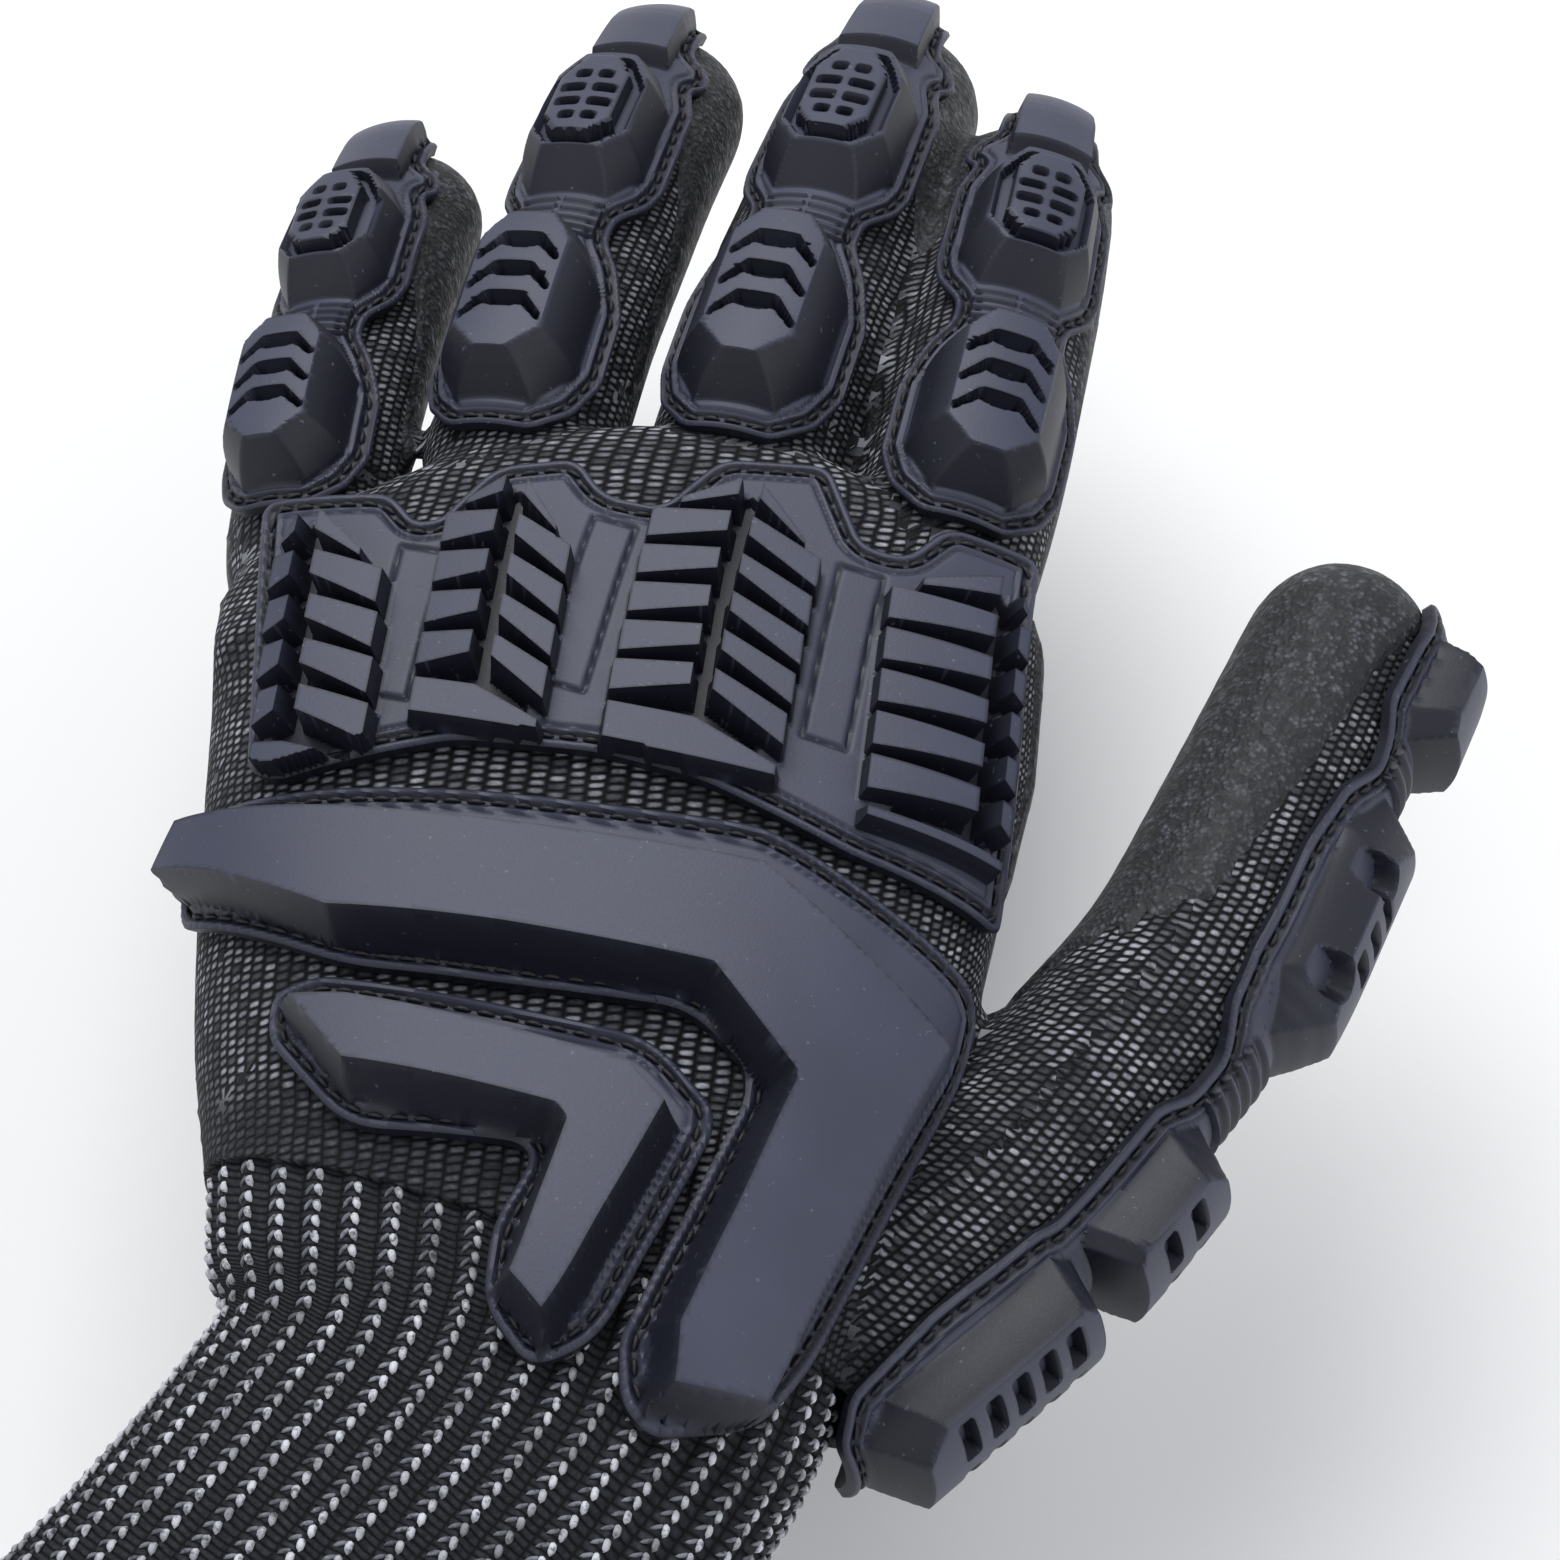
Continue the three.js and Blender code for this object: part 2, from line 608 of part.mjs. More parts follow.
function fingerGuard(limb, start) {
  const length = limb.length * guardLengthShare;
  const half = limb.half * guardHalfShare;
  const at = (share) => start + share * length;
  const top = plateThickness + lobeHeight;
  const rim = block(mirrored(guardRim.map((row) => [at(row.along), half * row.half])), 0, plateThickness);
  const first = lobe(firstLobe, at, half, plateThickness / 2, top);
  const end = lobe(endLobe, at, half, plateThickness / 2, top - 1.2);
  const plate = block(mirrored(gridPlate.map((row) => [at(row.along), half * row.half])), top - 2.5, top);
  let guard = union([rim, first, end, plate, lobe(tipBlock, at, half, plateThickness / 2, plateThickness + 2.6)]);
  for (const share of scaleCuts) {
    const [y, wide, narrow, drop, gap] = [at(share), 0.4 * half, 0.2 * half, 0.035 * length, 0.016 * length];
    const arch = [[-wide, y - drop], [-narrow, y], [narrow, y], [wide, y - drop]];
    const lower = [...arch].reverse().map(([x, v], i) => [x, v - (i === 0 || i === 3 ? gap * 0.4 : gap)]);
    guard = guard.subtract(block([...arch, ...lower], top - 1.6, top + 1));
  }
  for (const side of [-1, 1]) {
    for (const row of [0, 1, 2]) {
      const y = at(0.575 + row * 0.043);
      const reach = (row === 1 ? 0.3 : 0.25) * half;
      const slot = bar([side * 0.07 * half, y], [side * reach, y], 0.011 * length, top - 1, top + 1, top + 1);
      guard = guard.subtract(slot);
    }
  }
  for (const row of [0, 1]) {
    const y = at(0.39 + row * 0.032);
    guard = guard.add(bar([-0.4 * half, y], [0.4 * half, y], 1, plateThickness / 2, plateThickness + 0.7, plateThickness + 0.7));
  }
  return bend(guard, (across, distance, height) => limbPoint(limb, across, distance, height + clearance));
}

// The thumb guard: a rim the whole way down the thumb, a block over the tip, an octagonal lobe with a slotted
// plate, and two long blocks over the heel of the hand, with ribbed necks between them.
const thumbRim = [
  { along: 0.03, half: 0.5 },
  { along: 0.06, half: 0.78 },
  { along: 0.16, half: 0.88 },
  { along: 0.27, half: 0.84 },
  { along: 0.29, half: 0.78 },
  { along: 0.43, half: 0.8 },
  { along: 0.465, half: 0.62 },
  { along: 0.505, half: 0.62 },
  { along: 0.545, half: 0.9 },
  { along: 0.6, half: 1 },
  { along: 0.72, half: 0.98 },
  { along: 0.79, half: 0.86 },
  { along: 0.83, half: 0.62 },
  { along: 0.86, half: 0.66 },
  { along: 0.89, half: 0.8 },
  { along: 0.96, half: 0.74 },
  { along: 1.02, half: 0.5 },
];
const heelBlock = [
  { along: 0.045, half: 0.4, topAlong: 0.075, top: 0.24 },
  { along: 0.08, half: 0.6, topAlong: 0.1, top: 0.4 },
  { along: 0.27, half: 0.62, topAlong: 0.25, top: 0.42 },
  { along: 0.285, half: 0.5, topAlong: 0.265, top: 0.36 },
];
const rootBlock = [
  { along: 0.295, half: 0.5, topAlong: 0.315, top: 0.36 },
  { along: 0.31, half: 0.6, topAlong: 0.33, top: 0.42 },
  { along: 0.425, half: 0.58, topAlong: 0.405, top: 0.4 },
  { along: 0.455, half: 0.4, topAlong: 0.425, top: 0.3 },
];
const jointLobe = [
  { along: 0.55, half: 0.44, topAlong: 0.6, top: 0.26 },
  { along: 0.6, half: 0.78, topAlong: 0.635, top: 0.44 },
  { along: 0.76, half: 0.78, topAlong: 0.735, top: 0.44 },
  { along: 0.82, half: 0.44, topAlong: 0.78, top: 0.26 },
];
const thumbCap = [
  { along: 0.87, half: 0.46, topAlong: 0.895, top: 0.34 },
  { along: 0.9, half: 0.58, topAlong: 0.915, top: 0.42 },
  { along: 0.985, half: 0.5, topAlong: 0.965, top: 0.36 },
];

const jointLobeDrop = 1.4; // the thumb's two end lobes stand this much lower

function thumbGuard(limb) {
  const length = limb.length;
  const half = limb.half;
  const at = (share) => share * length;
  const top = plateThickness + thumbLobeHeight;
  const foot = plateThickness / 2;
  const rim = block(mirrored(thumbRim.map((row) => [at(row.along), half * row.half])), 0, plateThickness);
  let guard = union([
    rim,
    lobe(heelBlock, at, half, foot, top),
    lobe(rootBlock, at, half, foot, top),
    lobe(jointLobe, at, half, foot, top - jointLobeDrop),
    lobe(thumbCap, at, half, foot, top - jointLobeDrop),
  ]);
  const slots = [
    { from: 0.655, rows: 3, step: 0.03, high: top - jointLobeDrop },
    { from: 0.125, rows: 4, step: 0.036, high: top },
    { from: 0.35, rows: 2, step: 0.035, high: top },
  ];
  for (const { from, rows, step, high } of slots) {
    for (let row = 0; row < rows; row++) {
      const y = at(from + row * step);
      for (const side of [-1, 1]) {
        const slot = bar([side * 0.07 * half, y], [side * 0.33 * half, y], 0.013 * length, high - 1.2, high + 1, high + 1);
        guard = guard.subtract(slot);
      }
    }
  }
  for (const share of [0.478, 0.502, 0.526, 0.842]) {
    const y = at(share);
    guard = guard.add(bar([-0.45 * half, y], [0.45 * half, y], 1.4, foot, plateThickness + 1, plateThickness + 1));
  }
  return bend(guard, (across, distance, height) => limbPoint(limb, across, distance, height + clearance));
}

// Outlines on the back of the hand. across is a share of knuckleWidth from the crown of the section, to the thumb,
// and along a share of palmLength from the wrist.
const onBack = (rows) => rows.map(({ across, along }) => [across * knuckleWidth, along * palmLength]);

const knuckleRim = [
  { across: -0.445, along: 0.805 },
  { across: -0.395, along: 0.465 },
  { across: -0.355, along: 0.45 },
  { across: -0.275, along: 0.48 },
  { across: -0.16, along: 0.52 },
  { across: 0.005, along: 0.535 },
  { across: 0.12, along: 0.528 },
  { across: 0.295, along: 0.485 },
  { across: 0.485, along: 0.47 },
  { across: 0.48, along: 0.63 },
  { across: 0.462, along: 0.925 },
  { across: 0.35, along: 0.925 },
  { across: 0.31, along: 0.865 },
  { across: 0.26, along: 0.865 },
  { across: 0.2, along: 0.965 },
  { across: 0.076, along: 0.942 },
  { across: 0.024, along: 0.857 },
  { across: -0.045, along: 0.86 },
  { across: -0.086, along: 0.905 },
  { across: -0.176, along: 0.875 },
  { across: -0.225, along: 0.793 },
  { across: -0.252, along: 0.785 },
  { across: -0.29, along: 0.82 },
];

// Rib groups of the knuckle guard, one over each knuckle: the groove between its two rows of bars runs from top to
// foot. left and right are how far the bars reach from it, and drop is how far their outer ends fall.
const ribGroups = [
  { top: -0.366, topAlong: 0.775, foot: -0.34, footAlong: 0.495, bars: 5, left: 0.042, right: 0.095, drop: 0.018 },
  { top: -0.139, topAlong: 0.845, foot: -0.14, footAlong: 0.585, bars: 5, left: 0.075, right: 0.08, drop: 0.03 },
  { top: 0.125, topAlong: 0.895, foot: 0.106, footAlong: 0.595, bars: 6, left: 0.105, right: 0.1, drop: 0.035 },
  { top: 0.425, topAlong: 0.86, foot: 0.425, footAlong: 0.545, bars: 6, left: 0.13, right: 0.03, drop: 0 },
];
// Smooth raised bands between the groups.
const ribBands = [
  { top: -0.237, topAlong: 0.75, foot: -0.247, footAlong: 0.56 },
  { top: -0.024, topAlong: 0.825, foot: -0.05, footAlong: 0.605 },
  { top: 0.265, topAlong: 0.83, foot: 0.25, footAlong: 0.605 },
];
const bandWidth = 4.6;
const grooveWidth = 2;

function knuckleGuard() {
  const parts = [block(onBack(knuckleRim), 0, plateThickness)];
  const foot = plateThickness / 2;
  const top = plateThickness + ribHeight;
  for (const band of ribBands) {
    const [from, to] = onBack([
      { across: band.foot, along: band.footAlong },
      { across: band.top, along: band.topAlong },
    ]);
    parts.push(bar(from, to, bandWidth, foot, plateThickness + 0.9, plateThickness + 0.9));
  }
  for (const group of ribGroups) {
    const pitch = ((group.topAlong - group.footAlong) * palmLength) / group.bars;
    for (let i = 0; i < group.bars; i++) {
      const share = (i + 0.5) / group.bars;
      const x = THREE.MathUtils.lerp(group.top, group.foot, share) * knuckleWidth;
      const y = THREE.MathUtils.lerp(group.topAlong, group.footAlong, share) * palmLength;
      for (const [side, reach] of [[-1, group.left], [1, group.right]]) {
        const length = (i === 0 ? 0.6 : 1) * reach * knuckleWidth;
        const from = [x + (side * grooveWidth) / 2, y];
        const to = [x + side * length, y - group.drop * palmLength * (side > 0 ? 1 : 0.2)];
        parts.push(bar(from, to, pitch * 0.64, foot, top, top - 1));
      }
    }
    const [left, right] = [(group.foot - group.left) * knuckleWidth, (group.foot + group.right) * knuckleWidth];
    const y = group.footAlong * palmLength;
    const base = [[left, y - 3.6], [right, y - 3.6], [right, y - 1.4], [group.foot * knuckleWidth, y + 0.6], [left, y - 1.2]];
    parts.push(block(base, foot, top - 1, inset(base, 0.5)));
  }
  return bend(union(parts), (across, distance, height) => backPoint(across, distance, height + clearance + 0.2));
}

// The large angled pad over the back of the hand, and the small one nested in it: a sewn rim, and a block with
// sloping sides and a flat top.
const largePadRim = [
  { across: -0.475, along: 0.3 },
  { across: -0.225, along: 0.236 },
  { across: -0.055, along: 0.243 },
  { across: 0.15, along: 0.259 },
  { across: 0.218, along: 0.211 },
  { across: 0.223, along: 0.176 },
  { across: 0.125, along: -0.105 },
  { across: 0.15, along: -0.148 },
  { across: 0.19, along: -0.16 },
  { across: 0.29, along: -0.12 },
  { across: 0.335, along: -0.06 },
  { across: 0.475, along: 0.3 },
  { across: 0.48, along: 0.37 },
  { across: 0.455, along: 0.4 },
  { across: 0.25, along: 0.475 },
  { across: 0.195, along: 0.49 },
  { across: -0.12, along: 0.465 },
  { across: -0.29, along: 0.445 },
  { across: -0.425, along: 0.422 },
  { across: -0.47, along: 0.395 },
];
const largePadTop = [
  { across: -0.435, along: 0.335 },
  { across: -0.24, along: 0.272 },
  { across: -0.06, along: 0.28 },
  { across: 0.165, along: 0.285 },
  { across: 0.262, along: 0.19 },
  { across: 0.175, along: -0.09 },
  { across: 0.185, along: -0.13 },
  { across: 0.265, along: -0.115 },
  { across: 0.4, along: 0.29 },
  { across: 0.2, along: 0.415 },
  { across: -0.17, along: 0.393 },
  { across: -0.42, along: 0.383 },
];
const smallPadRim = [
  { across: -0.305, along: 0.2 },
  { across: -0.3, along: 0.145 },
  { across: -0.195, along: 0.053 },
  { across: 0.015, along: 0.07 },
  { across: -0.025, along: -0.03 },
  { across: -0.02, along: -0.11 },
  { across: 0.05, along: -0.155 },
  { across: 0.105, along: -0.11 },
  { across: 0.193, along: 0.125 },
  { across: 0.19, along: 0.155 },
  { across: 0.118, along: 0.215 },
  { across: -0.255, along: 0.222 },
];
const smallPadTop = [
  { across: -0.255, along: 0.168 },
  { across: -0.19, along: 0.1 },
  { across: 0.045, along: 0.085 },
  { across: 0.01, along: -0.09 },
  { across: 0.05, along: -0.115 },
  { across: 0.135, along: 0.115 },
  { across: 0.095, along: 0.15 },
  { across: -0.2, along: 0.172 },
];
const padSlope = 0.021; // of knuckleWidth, how far a pad's sides lean out from its flat top to its foot

function backPad(rim, top) {
  const flat = onBack(top);
  const foot = inset(flat, -padSlope * knuckleWidth);
  const whole = union([
    block(onBack(rim), 0, plateThickness),
    block(foot, plateThickness / 2, plateThickness + backPadHeight, flat),
  ]);
  return bend(whole, (across, distance, height) => backPoint(across, distance, height + clearance));
}

// What a guard covers, grown a little, to keep the coating clear of it.
const guardCover = [
  { along: 0.1, half: 1.02 },
  { along: 0.865, half: 0.92 },
  { along: 0.9, half: 0.66 },
  { along: 1.02, half: 0.56 },
];
const thumbCover = [
  { along: 0.02, half: 0.9 },
  { along: 0.5, half: 0.9 },
  { along: 0.56, half: 1 },
  { along: 0.75, half: 1 },
  { along: 0.84, half: 0.8 },
  { along: 0.96, half: 0.78 },
  { along: 1.03, half: 0.5 },
];
function cover(outline, place) {
  return bend(block(inset(outline, -0.8), -2, 4), place, 0.6);
}

// How high the coating climbs a finger's and the thumb's side. along is a share of the limb's length, and finger
// and thumb are shares of its half width, measured from its middle towards its back.
const coatEdge = [
  { along: 0.4, finger: 0.05, thumb: -1.05 },
  { along: 0.5, finger: 0.1, thumb: -0.75 },
  { along: 0.6, finger: 0.15, thumb: 0.05 },
  { along: 0.75, finger: 0.25, thumb: 0.3 },
  { along: 0.9, finger: 0.5, thumb: 0.5 },
  { along: 1, finger: 1.05, thumb: 1.05 },
];
const coatStart = 0.05; // of palmLength, where the coating ends towards the wrist
const indexSideRise = 2.5; // how far it climbs the palm's side below the index finger

// The rubber coating: a second skin round the palm side of the hand, the sides of the fingers and the thumb's pad,
// cut back where a guard is sewn on.
function palmCoating(covers) {
  const skinned = handSolid(clearance + coatWall, true).subtract(handSolid(clearance, true));
  const [wide, deep] = [2 * knuckleWidth, 2 * wristDepth];
  const box = (x0, x1, y0, y1, top) => block([[x0, y0], [x1, y0], [x1, y1], [x0, y1]], -deep, top);
  const regions = [
    box(-wide, wide, coatStart * palmLength, 3 * palmLength, -0.05 * wristDepth),
    box(0.3 * knuckleWidth, 0.7 * knuckleWidth, 0.56 * palmLength, 0.98 * palmLength, indexSideRise),
  ];
  for (const [name, limb] of Object.entries(limbs)) {
    const rings = coatEdge.map((row) => {
      const ring = limb.rings[Math.round(row.along * (limb.rings.length - 1))];
      const past = row.along === 1 ? 5 : 0;
      const lift = row[name === 'thumb' ? 'thumb' : 'finger'] * limb.half;
      const foot = -1.25 * limb.half;
      return [[-1.2, foot], [1.2, foot], [1.2, lift], [-1.2, lift]].map(([x, z]) =>
        ring.middle
          .clone()
          .addScaledVector(ring.tangent, past)
          .addScaledVector(limb.lateral, x * limb.half)
          .addScaledVector(ring.normal, z),
      );
    });
    regions.push(skin(rings));
  }
  let coat = skinned.intersect(union(regions));
  for (const solid of covers) coat = coat.subtract(solid);
  return coat;
}

const rubberMaterial = () => new THREE.MeshStandardMaterial({ color: 0x2e3038, roughness: 0.62, metalness: 0 });
const knitMaterial = () => new THREE.MeshStandardMaterial({ color: 0x3a3b42, roughness: 0.95, metalness: 0 });
const coatMaterial = () => new THREE.MeshStandardMaterial({ color: 0x1c1d21, roughness: 0.9, metalness: 0 });
const hemMaterial = () => new THREE.MeshStandardMaterial({ color: 0x17181b, roughness: 0.95, metalness: 0 });

const glove = new THREE.Group();
glove.name = 'impact_glove';
function add(name, solid, material) {
  const mesh = new THREE.Mesh(toGeometry(solid), material);
  mesh.name = name;
  glove.add(mesh);
}

const covers = [];
for (const finger of fingerTable) {
  const limb = limbs[finger.name];
  const start = guardStart - (fingerTable[1].length - finger.length) * 0.25;
  add(`${finger.name}_finger_guard`, fingerGuard(limb, start), rubberMaterial());
  const at = (share) => start + share * limb.length * guardLengthShare;
  const rim = mirrored(guardCover.map((row) => [at(row.along), limb.half * guardHalfShare * row.half]));
  covers.push(cover(rim, (x, y, z) => limbPoint(limb, x, y, z)));
}
add('thumb_guard', thumbGuard(limbs.thumb), rubberMaterial());
const thumbOutline = mirrored(thumbCover.map((row) => [row.along * limbs.thumb.length, limbs.thumb.half * row.half]));
covers.push(cover(thumbOutline, (x, y, z) => limbPoint(limbs.thumb, x, y, z)));
add('knuckle_guard', knuckleGuard(), rubberMaterial());
add('large_back_pad', backPad(largePadRim, largePadTop), rubberMaterial());
add('small_back_pad', backPad(smallPadRim, smallPadTop), rubberMaterial());
add('knit_liner', knitLiner(), knitMaterial());
add('palm_coating', palmCoating(covers), coatMaterial());
add('cuff_hem', cuffHem(), hemMaterial());

export default glove;
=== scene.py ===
"""Impact glove for the left hand: a heather knit with a ribbed cuff, a dipped palm and moulded rubber guards.

Lengths in the tables are in millimetres or shares of a named size, in the frame of the solids: the origin in
the middle of the wrist, +Y to the fingertips, +Z out of the back of the hand and +X to the thumb.
"""
import math

import bmesh
import bpy
import numpy as np
from mathutils import Matrix, Vector
from mathutils.geometry import delaunay_2d_cdt


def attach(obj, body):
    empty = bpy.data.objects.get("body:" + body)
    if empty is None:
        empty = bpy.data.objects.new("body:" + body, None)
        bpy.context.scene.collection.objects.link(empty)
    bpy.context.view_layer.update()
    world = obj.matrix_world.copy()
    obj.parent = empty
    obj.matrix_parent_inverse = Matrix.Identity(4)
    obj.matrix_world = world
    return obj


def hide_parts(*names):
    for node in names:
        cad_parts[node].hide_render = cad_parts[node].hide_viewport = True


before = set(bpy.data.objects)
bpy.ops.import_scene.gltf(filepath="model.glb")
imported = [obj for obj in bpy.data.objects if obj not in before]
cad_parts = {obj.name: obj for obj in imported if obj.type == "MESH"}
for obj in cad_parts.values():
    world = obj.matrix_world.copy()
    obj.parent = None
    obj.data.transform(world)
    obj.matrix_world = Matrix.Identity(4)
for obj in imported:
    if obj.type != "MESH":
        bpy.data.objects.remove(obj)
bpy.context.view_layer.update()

bl_info = {
    "name": "Impact Glove",
    "version": (1, 0, 0),
    "blender": (4, 5, 0),
    "location": "View3D > Sidebar > Glove",
    "description": "Builds a knitted impact glove over its packed solids",
    "category": "Add Mesh",
}

MM = 0.001

# Sizes shared with the solids, in millimetres
PALM_LENGTH = 112.0
KNUCKLE_WIDTH = 105.0
WRIST_DEPTH = 41.0
CUFF_LENGTH = 78.0
CUFF_BEND = 23.0
CLEARANCE = 0.7
PLATE = 1.7  # the sewn rim's thickness
LOBE = 6.0
RIB = 4.2
PAD = 6.6
THUMB_LOBE = 6.6
HEM_WIDTH = 6.0
PALM_SECTIONS = [  # share of the palm's length: centre, half width, height of the back, depth of the palm
    (-0.18, 0.0, 0.352, 0.505, 0.49),
    (0.0, -0.014, 0.366, 0.5, 0.49),
    (0.18, -0.038, 0.41, 0.465, 0.49),
    (0.4, -0.057, 0.452, 0.43, 0.44),
    (0.63, -0.081, 0.481, 0.415, 0.39),
    (0.82, -0.1, 0.5, 0.38, 0.365),
    (1.0, -0.105, 0.486, 0.305, 0.315),
]
CUFF_SECTIONS = [  # share of the cuff's length: centre, half width, height of the back, depth of the palm
    (0.0, 0.0, 0.355, 0.5, 0.49),
    (0.3, 0.0, 0.324, 0.48, 0.48),
    (0.65, 0.0, 0.322, 0.48, 0.48),
    (1.0, 0.0, 0.345, 0.5, 0.5),
]
FINGERS = {  # x, y, z where the axis starts, length, half width, splay, roll
    "little": (-0.485, 0.61, -1, 98, 10.4, -8.2, -19),
    "ring": (-0.29, 0.7, 2, 115, 12, -1.5, -12),
    "middle": (-0.038, 0.73, 2.5, 121, 12.6, 2, -5),
    "index": (0.238, 0.7, 2, 109.5, 12.4, 1, 12),
}
FINGER_BENDS = [(0, 5), (0.47, 9), (0.76, 7)]
FINGER_GIRTH = [(0, 0.8, 1), (0.3, 1, 1), (0.55, 1, 1), (0.76, 0.98, 1), (1, 0.92, 1)]
THUMB = (0.232, -0.07, -5, 139, 13.2, 35.6, 0)  # x, y, z, length, half width, heading, pitch
THUMB_BENDS = [(0.3, 9), (0.57, 13.6), (0.8, 0.6)]
THUMB_GIRTH = [(0, 1.14, 0.78), (0.3, 1.12, 0.85), (0.5, 1.06, 0.96), (0.7, 1, 1), (1, 0.92, 1)]
FLATNESS = 0.93
SQUARENESS = 2.4
BEND_SPREAD = 0.16
ROOT_CURVE = 0.0085
ROOT_MIDDLE = -2.0

# Sizes of the scene alone, in millimetres
PALM_END = 1.03  # the palm's end between the fingers, as a share of its length
WRIST_SLANT = 0.13  # how fast the hand's knit comes nearer the wrist towards the thumb
CUFF_RIBS = 40
RIB_DEPTH = 0.45
GROOVE_DEPTH, GROOVE_HALF = 0.6, 0.55  # the groove that the sewing lies in
LINE_DEPTH, LINE_HALF, LINE_INSET = 0.3, 0.26, 1.35  # the thin moulded line inside the sewing
EDGE_DROP, EDGE_WIDTH = 0.35, 0.45  # the rim's rounded edge
THINNEST = 0.6
THREAD_SUNK = 0.22
SHARP_ANGLE = 32  # degrees
BITE_RADIUS = 2.8
BAND_HALF = 2.7
COAT_ALONG = (0.4, 0.5, 0.6, 0.75, 0.9, 1.0)  # shares of a limb's length
COAT_THUMB = (-1.05, -0.75, 0.05, 0.3, 0.5, 1.05)  # how far round to its back the dip comes there
COAT_FINGER = (0.05, 0.1, 0.15, 0.25, 0.5, 1.05)
HEM_PROFILE = [(0.0, 1.9), (0.15, 2.5), (0.5, 2.8), (0.85, 2.5), (1.0, 1.9), (1.0, 0.4), (0.85, -0.1),
               (0.5, -0.3), (0.15, -0.1), (0.0, 0.4)]
LOOP_LEGS = {  # yarn, colour, length as a share of the pitch, width, place across a rib, turn in radians
    "left": ("pale plied yarn", "loop", 0.88, 0.95, -0.095, 0.35),
    # the far legs take the same pale yarn painted darker, as shade
    "right": ("grey plied yarn", "loop_shaded", 0.92, 0.55, 0.12, -0.75),
}
FLOOR_HALF, FLOOR_HEIGHT = 1500, -75
CAMERA_ANGLES = (12.6, 60)  # azimuth and elevation, fitted to the photograph
CAMERA_TARGET = (12.1, 71.9, 0)
CAMERA_DISTANCE = 0.56  # metres
CAMERA_LENS, CAMERA_FILM = 105.9, 36
LAMP_AIM = (0, 0.07, 0)  # metres
SKY_STRENGTH = 0.62
LAMPS = [  # name, place and size in metres, watts
    ("key", (-0.3, 0.7, 0.95), 0.9, 11),
    ("fill", (0.9, -0.1, 0.7), 0.9, 3.0),
    ("front", (-0.5, -0.7, 0.6), 0.8, 1.6),
]


# Shape of the hand


def smooth(u):
    u = np.clip(u, 0, 1)
    return u * u * (3 - 2 * u)


def row_at(table, along):
    """Smooth value of a table's columns at a place along it, for one place or an array of places."""
    t = np.array(table, float)
    x = np.clip(np.atleast_1d(np.asarray(along, float)), t[0, 0], t[-1, 0])
    n = len(t)
    i = np.clip(np.searchsorted(t[:, 0], x, side="left") - 1, 0, n - 2)
    before = np.maximum(np.arange(n) - 1, 0)
    after = np.minimum(np.arange(n) + 1, n - 1)
    slope = (t[after, 1:] - t[before, 1:]) / (t[after, 0] - t[before, 0])[:, None]
    span = (t[i + 1, 0] - t[i, 0])[:, None]
    u = ((x - t[i, 0]) / span[:, 0])[:, None]
    a, b = t[i, 1:], t[i + 1, 1:]
    return ((2 * u**3 - 3 * u**2 + 1) * a + (u**3 - 2 * u**2 + u) * slope[i] * span
            + (3 * u**2 - 2 * u**3) * b + (u**3 - u**2) * slope[i + 1] * span)


def body_section(distance):
    """Centre, half width, crown and sole of the palm or cuff, in millimetres, at distances from the wrist."""
    d = np.atleast_1d(np.asarray(distance, float))
    palm = row_at(PALM_SECTIONS, d / PALM_LENGTH)
    cuff = row_at(CUFF_SECTIONS, np.maximum(-d, 0) / CUFF_LENGTH)
    share = smooth(-d / (0.2 * PALM_LENGTH))[:, None]
    size = np.array([KNUCKLE_WIDTH, KNUCKLE_WIDTH, WRIST_DEPTH, WRIST_DEPTH])
    return (palm * (1 - share) + cuff * share) * size


def body_frame(distance):
    """Middle points and sideways directions along the palm and the bent cuff."""
    d = np.atleast_1d(np.asarray(distance, float))
    fine = np.linspace(0, -130, 521)
    turn = math.radians(CUFF_BEND) * smooth((-4 - fine) / 26)
    mid = (turn[1:] + turn[:-1]) / 2
    x = np.concatenate([[0], np.cumsum(np.sin(mid) * np.diff(fine))])
    y = np.concatenate([[0], np.cumsum(np.cos(mid) * np.diff(fine))])
    low = np.minimum(d, 0)
    middle = np.stack([np.interp(-low, -fine, x), np.interp(-low, -fine, y) + np.maximum(d, 0), 0 * d], -1)
    angle = math.radians(CUFF_BEND) * smooth((-4 - d) / 26)
    return middle, np.stack([np.cos(angle), -np.sin(angle), 0 * angle], -1)


def oval(angle, half, crown, sole, squareness=SQUARENESS):
    """A squarish oval's points at angles from the thumb's side, with its own height above and below."""
    c, s = np.cos(angle), np.sin(angle)
    rise = np.where(s > 0, crown, sole)
    power = 2 / squareness
    return half * np.sign(c) * np.abs(c) ** power, rise * np.sign(s) * np.abs(s) ** power


def section_line(half, crown, sole, squareness, count=180):
    """A section's line from the little finger over the back to the thumb, and its length from the crown."""
    x, z = oval(np.radians(205 - 230 * np.arange(count + 1) / count), half, crown, sole, squareness)
    length = np.concatenate([[0], np.cumsum(np.hypot(np.diff(x), np.diff(z)))])
    return x, z, length - np.interp(0, x[25:-25], length[25:-25])


